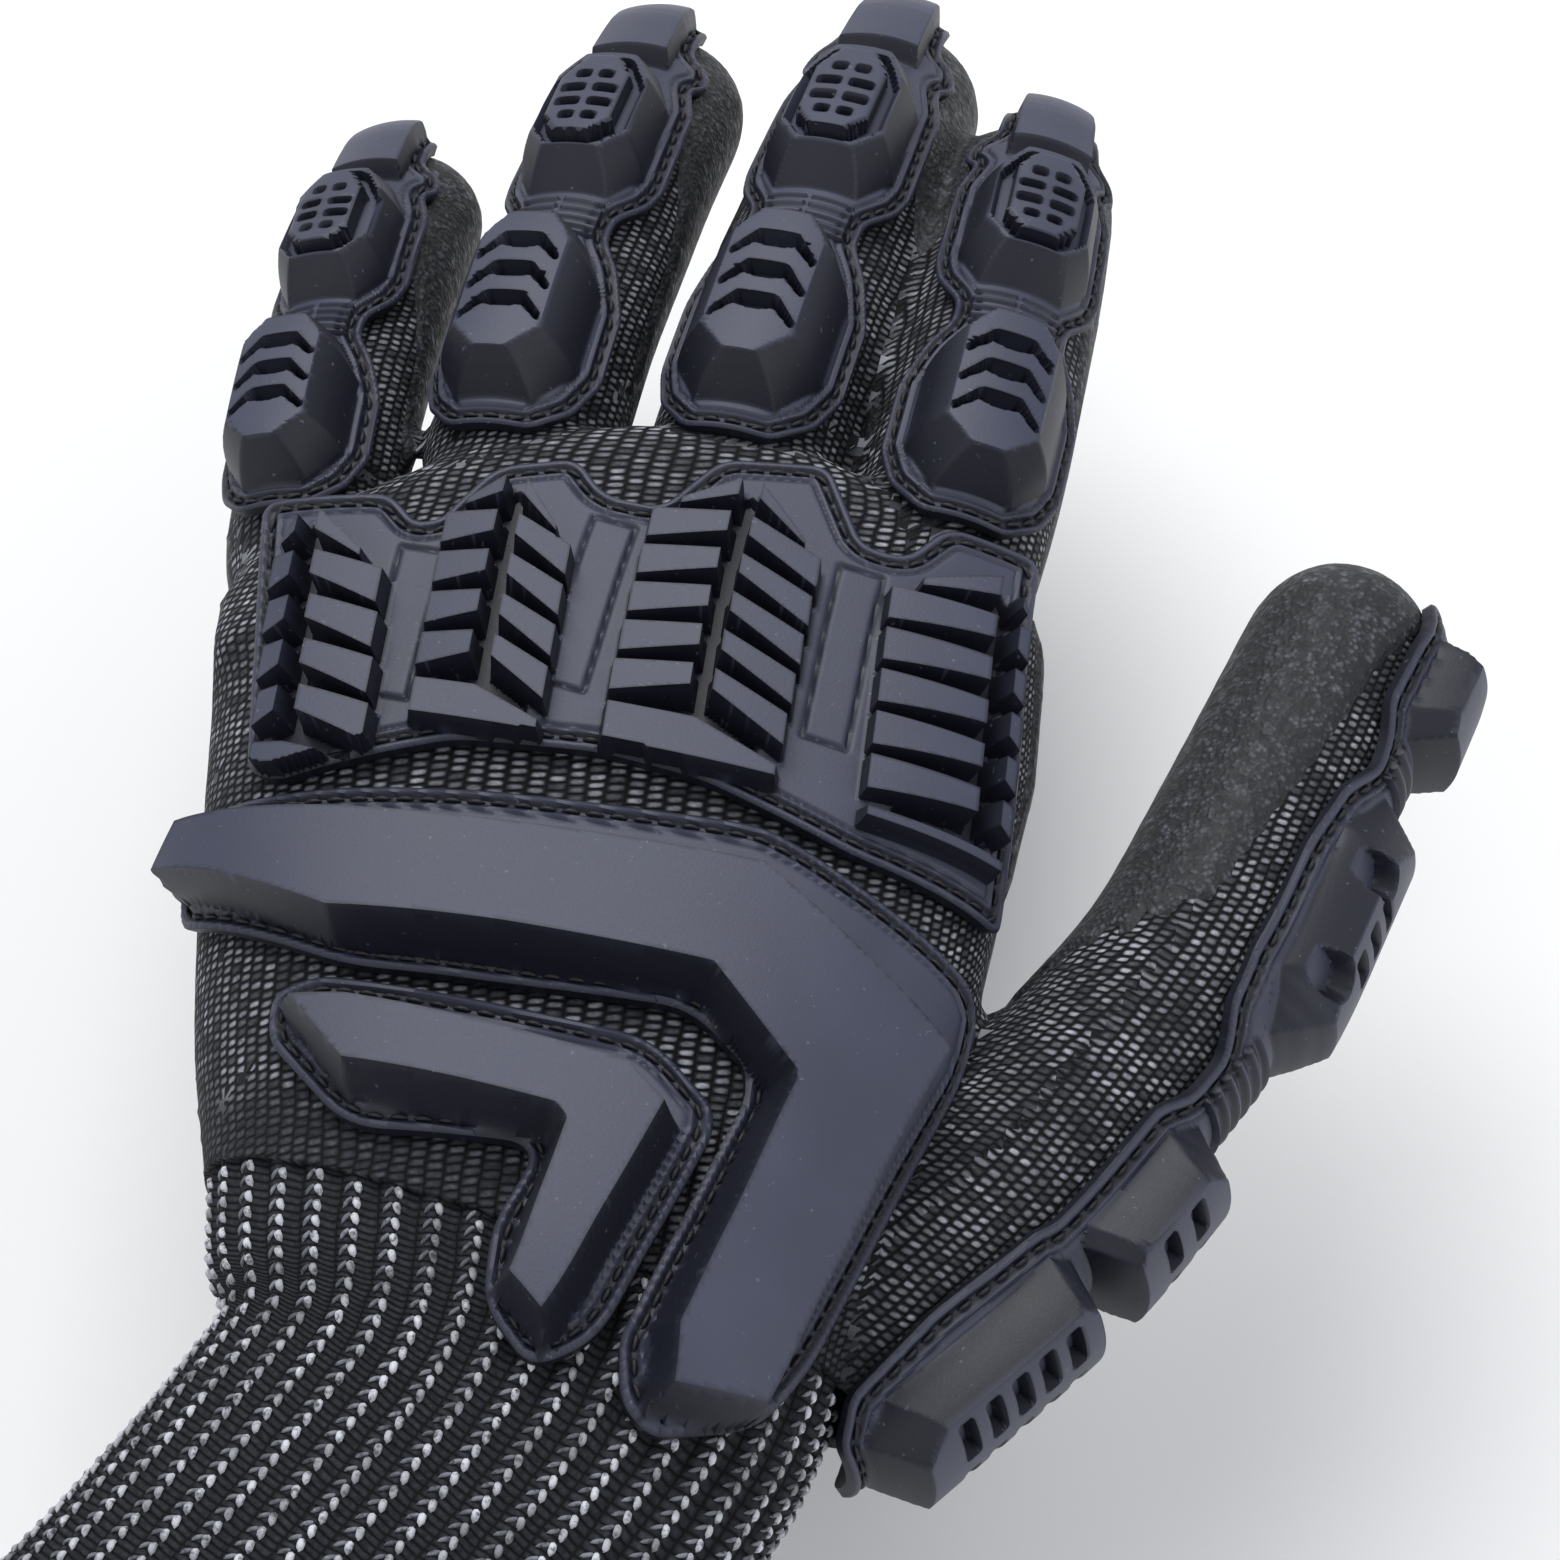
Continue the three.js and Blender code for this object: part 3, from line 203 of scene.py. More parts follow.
class Surface:
    """The back of one part of the hand, unrolled: a table of points and outward directions."""

    def __init__(self, across, along, points):
        self.across, self.along, self.points = across, along, points
        normals = np.cross(np.gradient(points, axis=1), np.gradient(points, axis=0))
        self.normals = normals / (np.linalg.norm(normals, axis=2)[:, :, None] + 1e-12)

    def place(self, flat, height):
        """Points over the hand from flat ones, (across, along), and their heights, all in millimetres."""
        i, j = (np.clip((values - ticks[0]) / (ticks[1] - ticks[0]), 0, len(ticks) - 1.001)
                for values, ticks in ((flat[:, 1], self.along), (flat[:, 0], self.across)))
        a, b = i.astype(int), j.astype(int)
        u, v = (i - a)[:, None], (j - b)[:, None]

        def mix(t):
            left = t[a, b] * (1 - u) + t[a + 1, b] * u
            right = t[a, b + 1] * (1 - u) + t[a + 1, b + 1] * u
            return left * (1 - v) + right * v
        normal = mix(self.normals)
        normal /= np.linalg.norm(normal, axis=1)[:, None]
        return mix(self.points) + normal * np.asarray(height)[:, None]


def body_surface():
    """The back of the palm and the cuff, unrolled."""
    across = np.arange(-78, 78.1, 0.5)
    along = np.arange(-96, 116.1, 1.0)
    middle, side = body_frame(along)
    points = np.zeros((len(along), len(across), 3))
    for k, (centre, half, crown, sole) in enumerate(body_section(along)):
        x, z, length = section_line(half, crown, sole, SQUARENESS)
        points[k] = middle[k] + side[k] * (centre + np.interp(across, length, x))[:, None]
        points[k, :, 2] += np.interp(across, length, z)
    return Surface(across, along, points)


class Limb:
    """A finger or the thumb: rings along its middle line, and its unrolled back."""

    def __init__(self, start, forward, dorsal, length, half, bends, girth):
        steps = 70
        t = np.arange(steps + 1) / steps
        angle = np.zeros(steps + 1)
        for at, degrees in bends:
            angle += math.radians(degrees) * (1 if at == 0 else smooth((t - at) / BEND_SPREAD + 0.5))
        self.lateral = np.cross(forward, dorsal)
        self.tangent = np.outer(np.cos(angle), forward) - np.outer(np.sin(angle), dorsal)
        self.normal = np.outer(np.cos(angle), dorsal) + np.outer(np.sin(angle), forward)
        travel = np.cumsum(self.tangent[1:] * length / steps, axis=0)
        self.middle = start + np.concatenate([[[0, 0, 0]], travel])
        tip = half * 0.95
        self.rounding = np.clip((t * length - (length - tip)) / tip, 0, 1)
        rows = row_at(girth, t)
        self.full, self.deep = rows[:, 0] * half, rows[:, 1]
        self.width = self.full * np.sqrt(np.maximum(1 - self.rounding**2.2, 0))
        self.length, self.half = length, half
        self.back = self.middle + self.normal * (self.width * FLATNESS)[:, None]
        self.reach = np.concatenate([[0], np.cumsum(np.linalg.norm(np.diff(self.back, axis=0), axis=1))])

    def surface(self):
        across = np.arange(-26, 26.1, 0.4)
        along = np.arange(0, self.reach[-1] + 6, 0.5)
        slope = np.gradient(self.back, axis=0)
        slope /= np.linalg.norm(slope, axis=1)[:, None] + 1e-12
        points = np.zeros((len(along), len(across), 3))
        for k, d in enumerate(along):
            i = min(np.searchsorted(self.reach, d, side="right") - 1, len(self.reach) - 2)
            u = (d - self.reach[i]) / (self.reach[i + 1] - self.reach[i])
            v = min(max(u, 0), 1)
            place = self.back[i] + (self.back[i + 1] - self.back[i]) * u
            forward = slope[i] * (1 - v) + slope[i + 1] * v
            out = np.cross(self.lateral, forward)
            out /= np.linalg.norm(out)
            half = self.full[i] * (1 - v) + self.full[i + 1] * v
            crown = half * FLATNESS
            x, z, length = section_line(half * self.deep[i], crown, crown, 2)
            sx, sz = np.interp(across, length, x), np.interp(across, length, z)
            points[k] = place + np.outer(sx, self.lateral) + np.outer(sz - crown, out)
        return Surface(across, along, points)


def make_limbs():
    limbs = {}
    for name, (x, y, z, length, half, splay, roll) in FINGERS.items():
        s, r = math.radians(splay), math.radians(roll)
        forward = np.array([math.sin(s), math.cos(s), 0])
        dorsal = np.array([math.cos(s) * math.sin(r), -math.sin(s) * math.sin(r), math.cos(r)])
        start = np.array([x * KNUCKLE_WIDTH, y * PALM_LENGTH, z])
        limbs[name] = Limb(start, forward, dorsal, length, half, FINGER_BENDS, FINGER_GIRTH)
    x, y, z, length, half, heading, pitch = THUMB
    h = math.radians(heading)
    forward = np.array([math.sin(h), math.cos(h), math.sin(math.radians(pitch))])
    dorsal = np.array([math.cos(h), -math.sin(h), 0])
    start = np.array([x * KNUCKLE_WIDTH, y * PALM_LENGTH, z])
    limbs["thumb"] = Limb(start, forward / np.linalg.norm(forward), dorsal, length, half, THUMB_BENDS,
                          THUMB_GIRTH)
    return limbs


LIMBS = make_limbs()
BACK = body_surface()


# Meshes


def tube_faces(rows, sides, start=0, ring=False):
    """Faces between closed rows of points, the last row joined to the first in a ring."""
    return [(start + r * sides + i, start + r * sides + (i + 1) % sides,
             start + (r + 1) % rows * sides + (i + 1) % sides, start + (r + 1) % rows * sides + i)
            for r in range(rows if ring else rows - 1) for i in range(sides)]


def new_object(name, vertices, faces, smooth_faces=True):
    mesh = bpy.data.meshes.new(name)
    mesh.from_pydata([tuple(v) for v in np.asarray(vertices) * MM], [], [tuple(f) for f in faces])
    mesh.validate()
    obj = bpy.data.objects.new(name, mesh)
    bpy.context.scene.collection.objects.link(obj)
    if smooth_faces:
        mesh.shade_smooth()
    return obj


def finish_piece(obj, slot, *nodes):
    """Hands a piece over to the frame: it rides on the one body and stands for its solids."""
    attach(obj, "root")
    if nodes:
        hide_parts(*nodes)


def read(items, key, width=1, kind=float):
    """One value or vector of each vertex, loop or face, as an array."""
    values = np.zeros(len(items) * width, kind)
    items.foreach_get(key, values)
    return values.reshape(-1, width) if width > 1 else values


def face_outwards(obj):
    bm = bmesh.new()
    bm.from_mesh(obj.data)
    bmesh.ops.recalc_face_normals(bm, faces=bm.faces)
    bm.to_mesh(obj.data)
    bm.free()


def thicken(obj, thickness):
    """Gives a skin its wall, inwards, and leaves it a plain smooth mesh."""
    wall = obj.modifiers.new("wall", "SOLIDIFY")
    wall.thickness = thickness
    wall.offset = -1
    applied(obj)
    obj.data.shade_smooth()


def store(obj, name, values):
    attribute = obj.data.attributes.new(name, "FLOAT", "POINT")
    attribute.data.foreach_set("value", np.asarray(values, np.float32))


def applied(obj):
    """obj with its modifiers applied, as a plain mesh."""
    mesh = bpy.data.meshes.new_from_object(obj.evaluated_get(bpy.context.evaluated_depsgraph_get()))
    obj.modifiers.clear()
    old = obj.data
    obj.data = mesh
    bpy.data.meshes.remove(old)
    return obj


# Relief: a guard's height over its flat outline


def edge_distance(points, outline):
    """Distance of points from a closed outline, more than 0 inside it, and its nearest point to each."""
    a = np.array(outline, float)
    b = np.roll(a, -1, axis=0)
    best = np.full(len(points), 1e9)
    nearest = np.zeros((len(points), 2))
    inside = np.zeros(len(points), bool)
    for p, q in zip(a, b):
        d = q - p
        t = np.clip(((points - p) @ d) / (d @ d), 0, 1)
        on = p + t[:, None] * d
        gap = np.linalg.norm(points - on, axis=1)
        closer = gap < best
        best[closer], nearest[closer] = gap[closer], on[closer]
        crosses = (p[1] > points[:, 1]) != (q[1] > points[:, 1])
        with np.errstate(divide="ignore", invalid="ignore"):
            x = p[0] + (points[:, 1] - p[1]) * d[0] / d[1]
        inside ^= crosses & (points[:, 0] < x)
    return np.where(inside, best, -best), nearest


def rounded(outline, radius, steps=6):
    """The outline with its corners rounded."""
    a = np.array(outline, float)
    out = []
    for k in range(len(a)):
        p, c, n = a[k - 1], a[k], a[(k + 1) % len(a)]
        to_p, to_n = (p - c), (n - c)
        lp, ln = np.linalg.norm(to_p), np.linalg.norm(to_n)
        r = min(radius, 0.4 * lp, 0.4 * ln)
        s, e = c + to_p / lp * r, c + to_n / ln * r
        for i in range(steps + 1):
            t = i / steps
            out.append((1 - t) ** 2 * s + 2 * t * (1 - t) * c + t * t * e)
    return np.array(out)


def frustum(points, foot, top):
    """0 outside a convex foot outline, rising to 1 on the top outline that has as many corners."""
    foot, top = np.array(foot, float), np.array(top, float)
    turn = np.sign(np.sum(np.roll(foot, -1, 0)[:, 1] * foot[:, 0] - np.roll(foot, -1, 0)[:, 0] * foot[:, 1]))
    share = np.full(len(points), 1e9)
    for k in range(len(foot)):
        p, q = foot[k], foot[(k + 1) % len(foot)]
        d = (q - p) / np.linalg.norm(q - p)
        inward = np.array([-d[1], d[0]]) * turn
        width = max((((top[k] + top[(k + 1) % len(top)]) / 2 - p) @ inward), 0.2)
        share = np.minimum(share, ((points - p) @ inward) / width)
    return np.clip(share, 0, 1)


def mirrored(rows):
    """A closed outline from half widths along a length: rows of (distance, half width)."""
    return [(half, y) for y, half in rows] + [(-half, y) for y, half in reversed(rows)]


def bar_share(points, a, b, width, slope=0.35):
    """1 on a straight bar, falling to 0 over its sloping sides."""
    a, b = np.array(a, float), np.array(b, float)
    d = (b - a) / np.linalg.norm(b - a)
    rel = points - (a + b) / 2
    along = np.abs(rel @ d) - np.linalg.norm(b - a) / 2
    side = np.abs(rel @ np.array([-d[1], d[0]])) - width / 2
    return np.clip(-np.maximum(along, side) / slope, 0, 1)


def snap_to_creases(flat, free, creases, step):
    """Moves the free grid points by a crease onto it, so that the mould's edges come out straight."""
    gap = np.full(len(flat), 0.5 * step)
    target = flat.copy()
    on = np.zeros(len(flat), bool)
    for crease in creases:
        crease = np.array(crease, float)
        near = np.all((flat > crease.min(0) - step) & (flat < crease.max(0) + step), axis=1) & free
        index = np.nonzero(near)[0]
        for p, q in zip(crease[:-1], crease[1:]):
            d = q - p
            t = np.clip(((flat[index] - p) @ d) / (d @ d + 1e-12), 0, 1)
            place = p + t[:, None] * d
            distance = np.linalg.norm(flat[index] - place, axis=1)
            hit = distance < gap[index]
            chosen = index[hit]
            gap[chosen], target[chosen], on[chosen] = distance[hit], place[hit], True
        for corner in crease:
            if len(index):
                distance = np.linalg.norm(flat[index] - corner, axis=1)
                k = index[np.argmin(distance)]
                if distance.min() < 0.75 * step:
                    target[k], gap[k], on[k] = corner, 0, True
    return target, on


def lattice(outline, step):
    """Sparse points inside an outline."""
    low, high = outline.min(0), outline.max(0)
    gx, gy = np.meshgrid(np.arange(low[0], high[0], step), np.arange(low[1], high[1], step))
    points = np.stack([gx.ravel(), gy.ravel()], -1)
    return points[edge_distance(points, outline)[0] > 0.4 * step]


def flat_back(points, edges):
    """Triangles, facing down, that close a piece's back between its rim's edges and over its inner points."""
    _, _, triangles, sources, _, _ = delaunay_2d_cdt([Vector(p) for p in points], edges.tolist(), [], 1, 1e-6)
    first = [source[0] for source in sources]
    return np.array([[first[c], first[b], first[a]] for a, b, c in triangles])


def closed(outline):
    return [*outline, outline[0]]


def rim_grid(outline, step):
    """A grid's faces inside an outline, with the border's points drawn onto it. It gives the points, the
    faces, which points are on the rim, and which edges of each face are the border."""
    low, high = outline.min(0) - step, outline.max(0) + step
    nx, ny = int((high[0] - low[0]) / step) + 2, int((high[1] - low[1]) / step) + 2
    gx, gy = np.meshgrid(low[0] + step * np.arange(nx), low[1] + step * np.arange(ny))
    flat = np.stack([gx.ravel(), gy.ravel()], -1)
    inside, nearest = edge_distance(flat, outline)
    first = (np.arange(ny - 1)[:, None] * nx + np.arange(nx - 1)).ravel()
    quads = np.stack([first, first + 1, first + nx + 1, first + nx], -1)
    quads = quads[(inside[quads] > -0.25 * step).sum(1) >= 3]
    edges = np.sort(np.concatenate([quads[:, [k, (k + 1) % 4]] for k in range(4)]), axis=1)
    codes = edges[:, 0] * nx * ny + edges[:, 1]
    _, where, counts = np.unique(codes, return_inverse=True, return_counts=True)
    border = (counts[where] == 1).reshape(4, -1).T
    rim = np.zeros(len(flat), bool)
    for k in range(4):
        rim[quads[border[:, k], k]] = rim[quads[border[:, k], (k + 1) % 4]] = True
    flat[rim] = nearest[rim]
    return flat, quads, rim, border


def sewn_rim(up, inside, stitch_inset):
    """The height with the sewn rim's groove, thin line and rounded edge, at distances inside that edge."""
    flange = up < PLATE + 0.2
    groove = GROOVE_DEPTH * np.exp(-(((inside - stitch_inset) / GROOVE_HALF) ** 4))
    line = LINE_DEPTH * np.exp(-(((inside - stitch_inset - LINE_INSET) / LINE_HALF) ** 2))
    up = np.maximum(up - flange * (groove + line), THINNEST)
    edge = PLATE - EDGE_DROP * (1 - np.sqrt(np.clip(inside / EDGE_WIDTH, 0, 1)))
    return np.where(inside < EDGE_WIDTH, np.minimum(up, edge), up)


def relief(name, part, surface, outline, height, step, creases, lift=CLEARANCE, stitch_inset=1.55,
           corner=1.5):
    """A moulded piece: the height over its flat outline, bent over the hand, with its wall and its back."""
    outline = rounded(outline, corner)
    flat, quads, rim, border = rim_grid(outline, step)
    flat, on = snap_to_creases(flat, ~rim, creases, step)
    used = np.unique(quads)
    renumber = np.full(len(flat), -1)
    renumber[used] = np.arange(len(used))
    quads, flat, rim, on = renumber[quads], flat[used], rim[used], (on | rim)[used]
    inside = np.where(rim, 0, edge_distance(flat, outline)[0])
    up = sewn_rim(height(flat), inside, stitch_inset)
    back_flat = np.concatenate([flat[rim], lattice(outline, 4.0)])
    below = surface.place(back_flat, np.full(len(back_flat), lift))
    under = np.full(len(flat), -1)
    under[rim] = len(flat) + np.arange(rim.sum())
    # each face is split along the crease that it lies on, or else along the mould's flatter diagonal
    a, b, c, d = quads.T
    lines = on[a].astype(int) + on[c] - on[b] - on[d]
    split = np.where(lines != 0, lines > 0, np.abs(up[a] - up[c]) < np.abs(up[b] - up[d]))[:, None]
    first = np.where(split, quads[:, [0, 1, 2]], quads[:, [0, 1, 3]])
    second = np.where(split, quads[:, [0, 2, 3]], quads[:, [1, 2, 3]])
    walls = []
    for k in range(4):
        a, b = quads[border[:, k], k], quads[border[:, k], (k + 1) % 4]
        walls.append(np.stack([b, a, under[a], under[b]], -1))
    walls = np.concatenate(walls)
    back = flat_back(back_flat, walls[:, 2:] - len(flat)) + len(flat)
    obj = new_object(name, np.concatenate([surface.place(flat, up + lift), below]),
                     first.tolist() + second.tolist() + walls.tolist() + back.tolist())
    obj.data.set_sharp_from_angle(angle=math.radians(SHARP_ANGLE))
    # painted light: the faces that lie level with the hand are painted paler, as lit tops, and the flanks and
    # the grooves are left dark, as painted shade
    facing = surface.place(flat, np.ones(len(flat))) - surface.place(flat, np.zeros(len(flat)))
    level = np.sum(read(obj.data.vertex_normals, "vector", 3)[:len(flat)] * facing, axis=1)
    groove = np.clip(1 - (PLATE - 0.1 - up) * 2.2, 0.1, 1)
    rubbed = np.clip((level - 0.75) / 0.22, 0, 1) * groove
    store(obj, "rubbed", np.concatenate([rubbed, np.zeros(len(below))]))
    colours = bpy.context.scene.glove_colours
    obj.data.materials.append(finish("moulded thermoplastic rubber", moulded_rubber, colours))
    finish_piece(obj, "moulded_guard", part)
    stitch_line(name + "_stitches", surface, outline, stitch_inset, PLATE - THREAD_SUNK + lift)


def stitch_line(name, surface, outline, inset, height):
    """Sewing along a guard's rim: short stitches of thread on a path set in from its edge."""
    pitch = bpy.context.scene.glove_sizes.stitch_pitch / MM
    path = offset_path(outline, inset)
    place = surface.place(path, np.full(len(path), height))
    lifted = surface.place(path, np.full(len(path), height + 1.0))
    # the thread's second colour is its painted sheen
    thread = finish("bonded polyester thread", twisted_yarn, 0.3, 2, bpy.context.scene.glove_colours.thread,
                    "#1d1e26", 0.08, 0.6)
    stitch = capsule("thread_stitch", pitch * 0.8, 0.62, 0.5, 0.3)
    repeat_along(name, [place], [lifted - place], stitch, pitch, thread)


def offset_path(outline, inset, step=0.5):
    a = np.array(outline, float)
    b = np.roll(a, -1, axis=0)
    dense = []
    for p, q in zip(a, b):
        n = max(int(np.linalg.norm(q - p) / step), 1)
        dense += [p + (q - p) * k / n for k in range(n)]
    dense = np.array(dense)
    forward = np.roll(dense, -1, 0) - np.roll(dense, 1, 0)
    forward /= np.linalg.norm(forward, axis=1)[:, None] + 1e-9
    area = np.sum(np.roll(dense, -1, 0)[:, 1] * dense[:, 0] - np.roll(dense, -1, 0)[:, 0] * dense[:, 1])
    inward = np.stack([-forward[:, 1], forward[:, 0]], -1) * np.sign(area)
    moved = dense + inward * inset
    gap, _ = edge_distance(moved, a)
    return moved[gap > inset * 0.93]


# Repeats along a path, made with geometry nodes


def repeat_along(name, lines, ups, item, pitch, material, slot="moulded_guard", tilt=0.0):
    """Repeats item every pitch millimetres along one path or more, its Z along ups, as one plain mesh."""
    mesh = bpy.data.meshes.new(name)
    edges, start = [], 0
    for line in lines:
        edges += [(start + i, start + i + 1) for i in range(len(line) - 1)]
        start += len(line)
    mesh.from_pydata([tuple(p) for p in np.concatenate(lines) * MM], edges, [])
    up = mesh.attributes.new("up", "FLOAT_VECTOR", "POINT")
    up.data.foreach_set("vector", np.concatenate(ups).astype(np.float32).ravel())
    obj = bpy.data.objects.new(name, mesh)
    bpy.context.scene.collection.objects.link(obj)
    tree = repeat_tree()
    modifier = obj.modifiers.new("repeat", "NODES")
    modifier.node_group = tree
    inputs = {s.name: s.identifier for s in tree.interface.items_tree if s.in_out == "INPUT"}
    for key, value in (("Item", item), ("Pitch", pitch * MM), ("Tilt", tilt), ("Material", material)):
        modifier[inputs[key]] = value
    applied(obj)
    obj.data.shade_smooth()
    finish_piece(obj, slot)


def repeat_tree():
    """Geometry Nodes that stand one item at every pitch of a path, turned to the path and to the surface."""
    name = "Repeat along a path"
    if name in bpy.data.node_groups:
        return bpy.data.node_groups[name]
    tree = bpy.data.node_groups.new(name, "GeometryNodeTree")
    for socket, kind in (("Path", "Geometry"), ("Item", "Object"), ("Pitch", "Float"), ("Tilt", "Float"),
                         ("Material", "Material")):
        tree.interface.new_socket(socket, in_out="INPUT", socket_type="NodeSocket" + kind)
    tree.interface.new_socket("Mesh", in_out="OUTPUT", socket_type="NodeSocketGeometry")
    given = node(tree, "NodeGroupInput", out=None).outputs
    curve = node(tree, "GeometryNodeMeshToCurve", {"Mesh": given["Path"]})
    even = node(tree, "GeometryNodeResampleCurve", {"Curve": curve, "Length": given["Pitch"]}, mode="LENGTH")
    up = node(tree, "GeometryNodeInputNamedAttribute", {"Name": "up"}, data_type="FLOAT_VECTOR")
    tangent = node(tree, "GeometryNodeInputTangent")
    along = node(tree, "FunctionNodeAlignRotationToVector", {"Vector": tangent}, axis="X")
    facing = node(tree, "FunctionNodeAlignRotationToVector", {"Rotation": along, "Vector": up},
                  axis="Z", pivot_axis="X")
    shape = node(tree, "GeometryNodeObjectInfo", {"Object": given["Item"]}, "Geometry")
    tilt = node(tree, "FunctionNodeEulerToRotation",
                [node(tree, "ShaderNodeCombineXYZ", {"Z": given["Tilt"]})])
    turned = node(tree, "FunctionNodeRotateRotation", {"Rotation": facing, "Rotate By": tilt},
                  rotation_space="LOCAL")
    stood = node(tree, "GeometryNodeInstanceOnPoints",
                 {"Points": even, "Instance": shape, "Rotation": turned})
    real = node(tree, "GeometryNodeRealizeInstances", {"Geometry": stood})
    painted = node(tree, "GeometryNodeSetMaterial", {"Geometry": real, "Material": given["Material"]})
    node(tree, "NodeGroupOutput", [painted], None)
    return tree


def capsule(name, length, width, thick, sag):
    """One strand of thread as a fat-ended capsule along X, its ends sunk by sag. It is only ever repeated."""
    if name in bpy.data.objects:
        return bpy.data.objects[name]
    sides, rings = 5, 6
    vertices, faces = [], []
    for t in np.linspace(-1, 1, rings):
        size = math.sqrt(max(1 - abs(t) ** 3, 0.02))
        for k in range(sides):
            a = 2 * math.pi * k / sides
            vertices.append((t * length / 2, width / 2 * size * math.cos(a),
                             thick / 2 * size * math.sin(a) - sag * t * t))
    for a, b, c, d in tube_faces(rings, sides):
        faces.append((a, d, c, b))
    faces.append(tuple(range(sides)))
    faces.append(tuple(reversed(range((rings - 1) * sides, rings * sides))))
    obj = new_object(name, vertices, faces)
    obj.hide_render = True
    obj.hide_viewport = True
    bpy.context.scene.collection.objects.unlink(obj)
    return obj


# Materials

MATH, NOISE, RAMP, MIX = "ShaderNodeMath", "ShaderNodeTexNoise", "ShaderNodeValToRGB", "ShaderNodeMix"
COLOURS = {"data_type": "RGBA"}  # a mix of colours: share at input 0, colours at 6 and 7, result at output 2
BUMP, SPLIT, PLACE = "ShaderNodeBump", "ShaderNodeSeparateXYZ", "ShaderNodeTexCoord"


def linear(code):
    """The linear colour of an sRGB hex value such as #3a3d4a."""
    values = [int(code.lstrip("#")[k:k + 2], 16) / 255 for k in (0, 2, 4)]
    return tuple(v / 12.92 if v <= 0.04045 else ((v + 0.055) / 1.055) ** 2.4 for v in values) + (1.0,)


def wire(tree, item, inputs):
    """Sets or links a node's inputs, given in their order or by name or number."""
    for key, value in inputs.items() if isinstance(inputs, dict) else enumerate(inputs):
        if isinstance(value, bpy.types.NodeSocket):
            tree.links.new(value, item.inputs[key])
        else:
            item.inputs[key].default_value = value


def node(tree, kind, inputs=(), out=0, stops=(), **settings):
    """Adds a node with its inputs, a ramp's stops as (place, grey) and its settings, and gives one output."""
    item = tree.nodes.new(kind)
    for key, value in settings.items():
        setattr(item, key, value)
    wire(tree, item, inputs)
    for element, (at, grey) in zip(item.color_ramp.elements if stops else (), stops):
        element.position = at
        element.color = (grey, grey, grey, 1)
    return item if out is None else item.outputs[out]


def grains(tree, size_mm, detail, roughness=0.55):
    """Inputs of a noise on the piece whose features are about size_mm across."""
    return {"Vector": node(tree, PLACE, out="Object"), "Scale": 1 / (size_mm * MM), "Detail": detail,
            "Roughness": roughness}


def finish(name, build, *looks):
    """The material of that name, which build makes the first time that it is asked for."""
    material = bpy.data.materials.get(name)
    if not material:
        material = bpy.data.materials.new(name)
        material.use_nodes = True
        tree = material.node_tree
        build(tree, tree.nodes["Principled BSDF"], *looks)
    return material


def moulded_rubber(tree, shader, colours):
    """Thermoplastic rubber, injection moulded: a fine satin-matt skin with faint dust specks, and painted
    highlight in uneven patches on its level tops.
    """
    broad = node(tree, RAMP, [node(tree, NOISE, grains(tree, 14, 4))], stops=[(0.35, 0), (0.75, 1)])
    spark = node(tree, NOISE, grains(tree, 0.35, 2))  # the mould's spark-eroded grain
    specks = node(tree, RAMP, [node(tree, NOISE, grains(tree, 0.9, 1))], stops=[(0.735, 0), (0.775, 1)])
    # painted light: level faces take the paler colour in uneven patches, as lit tops; flanks and grooves keep
    # the dark one, as shade
    rubbed = node(tree, "ShaderNodeAttribute", out="Fac", attribute_name="rubbed")
    patchy = node(tree, MATH, [broad, 0.25, 0.75], operation="MULTIPLY_ADD")
    share = node(tree, MATH, [rubbed, patchy], operation="MULTIPLY")
    skin = node(tree, MIX, {0: share, 6: linear(colours.guard), 7: linear(colours.guard_worn)}, 2, **COLOURS)
    faint = node(tree, MATH, [specks, 0.22], operation="MULTIPLY")
    dusty = node(tree, MIX, {0: faint, 6: skin, 7: linear("#8a8d98")}, 2, **COLOURS)
    uneven = node(tree, MATH, [spark, 0.35, node(tree, MATH, [broad, 0.2], operation="MULTIPLY")],
                  operation="MULTIPLY_ADD")
    wire(tree, shader, {"Base Color": dusty, "IOR": 1.5, "Specular IOR Level": 0.42,
                        "Roughness": node(tree, RAMP, [uneven], stops=[(0.0, 0.42), (0.6, 0.6)]),
                        "Normal": node(tree, BUMP,
                                       {"Height": spark, "Distance": 0.05 * MM, "Strength": 0.5})})


def twisted_yarn(tree, shader, size_mm, detail, dark, light, relief_mm, roughness):
    """Twisted polyester, sewn or overlocked: black, with a slight painted sheen where each strand's bump
    rises.
    """
    strand = node(tree, NOISE, grains(tree, size_mm, detail))
    # painted sheen: the colour turns paler where the strand noise raises the bump
    colour = node(tree, MIX, {0: strand, 6: linear(dark), 7: linear(light)}, 2, **COLOURS)
    wire(tree, shader, {"Base Color": colour, "Roughness": roughness,
                        "Normal": node(tree, BUMP, {"Height": strand, "Distance": relief_mm * MM})})


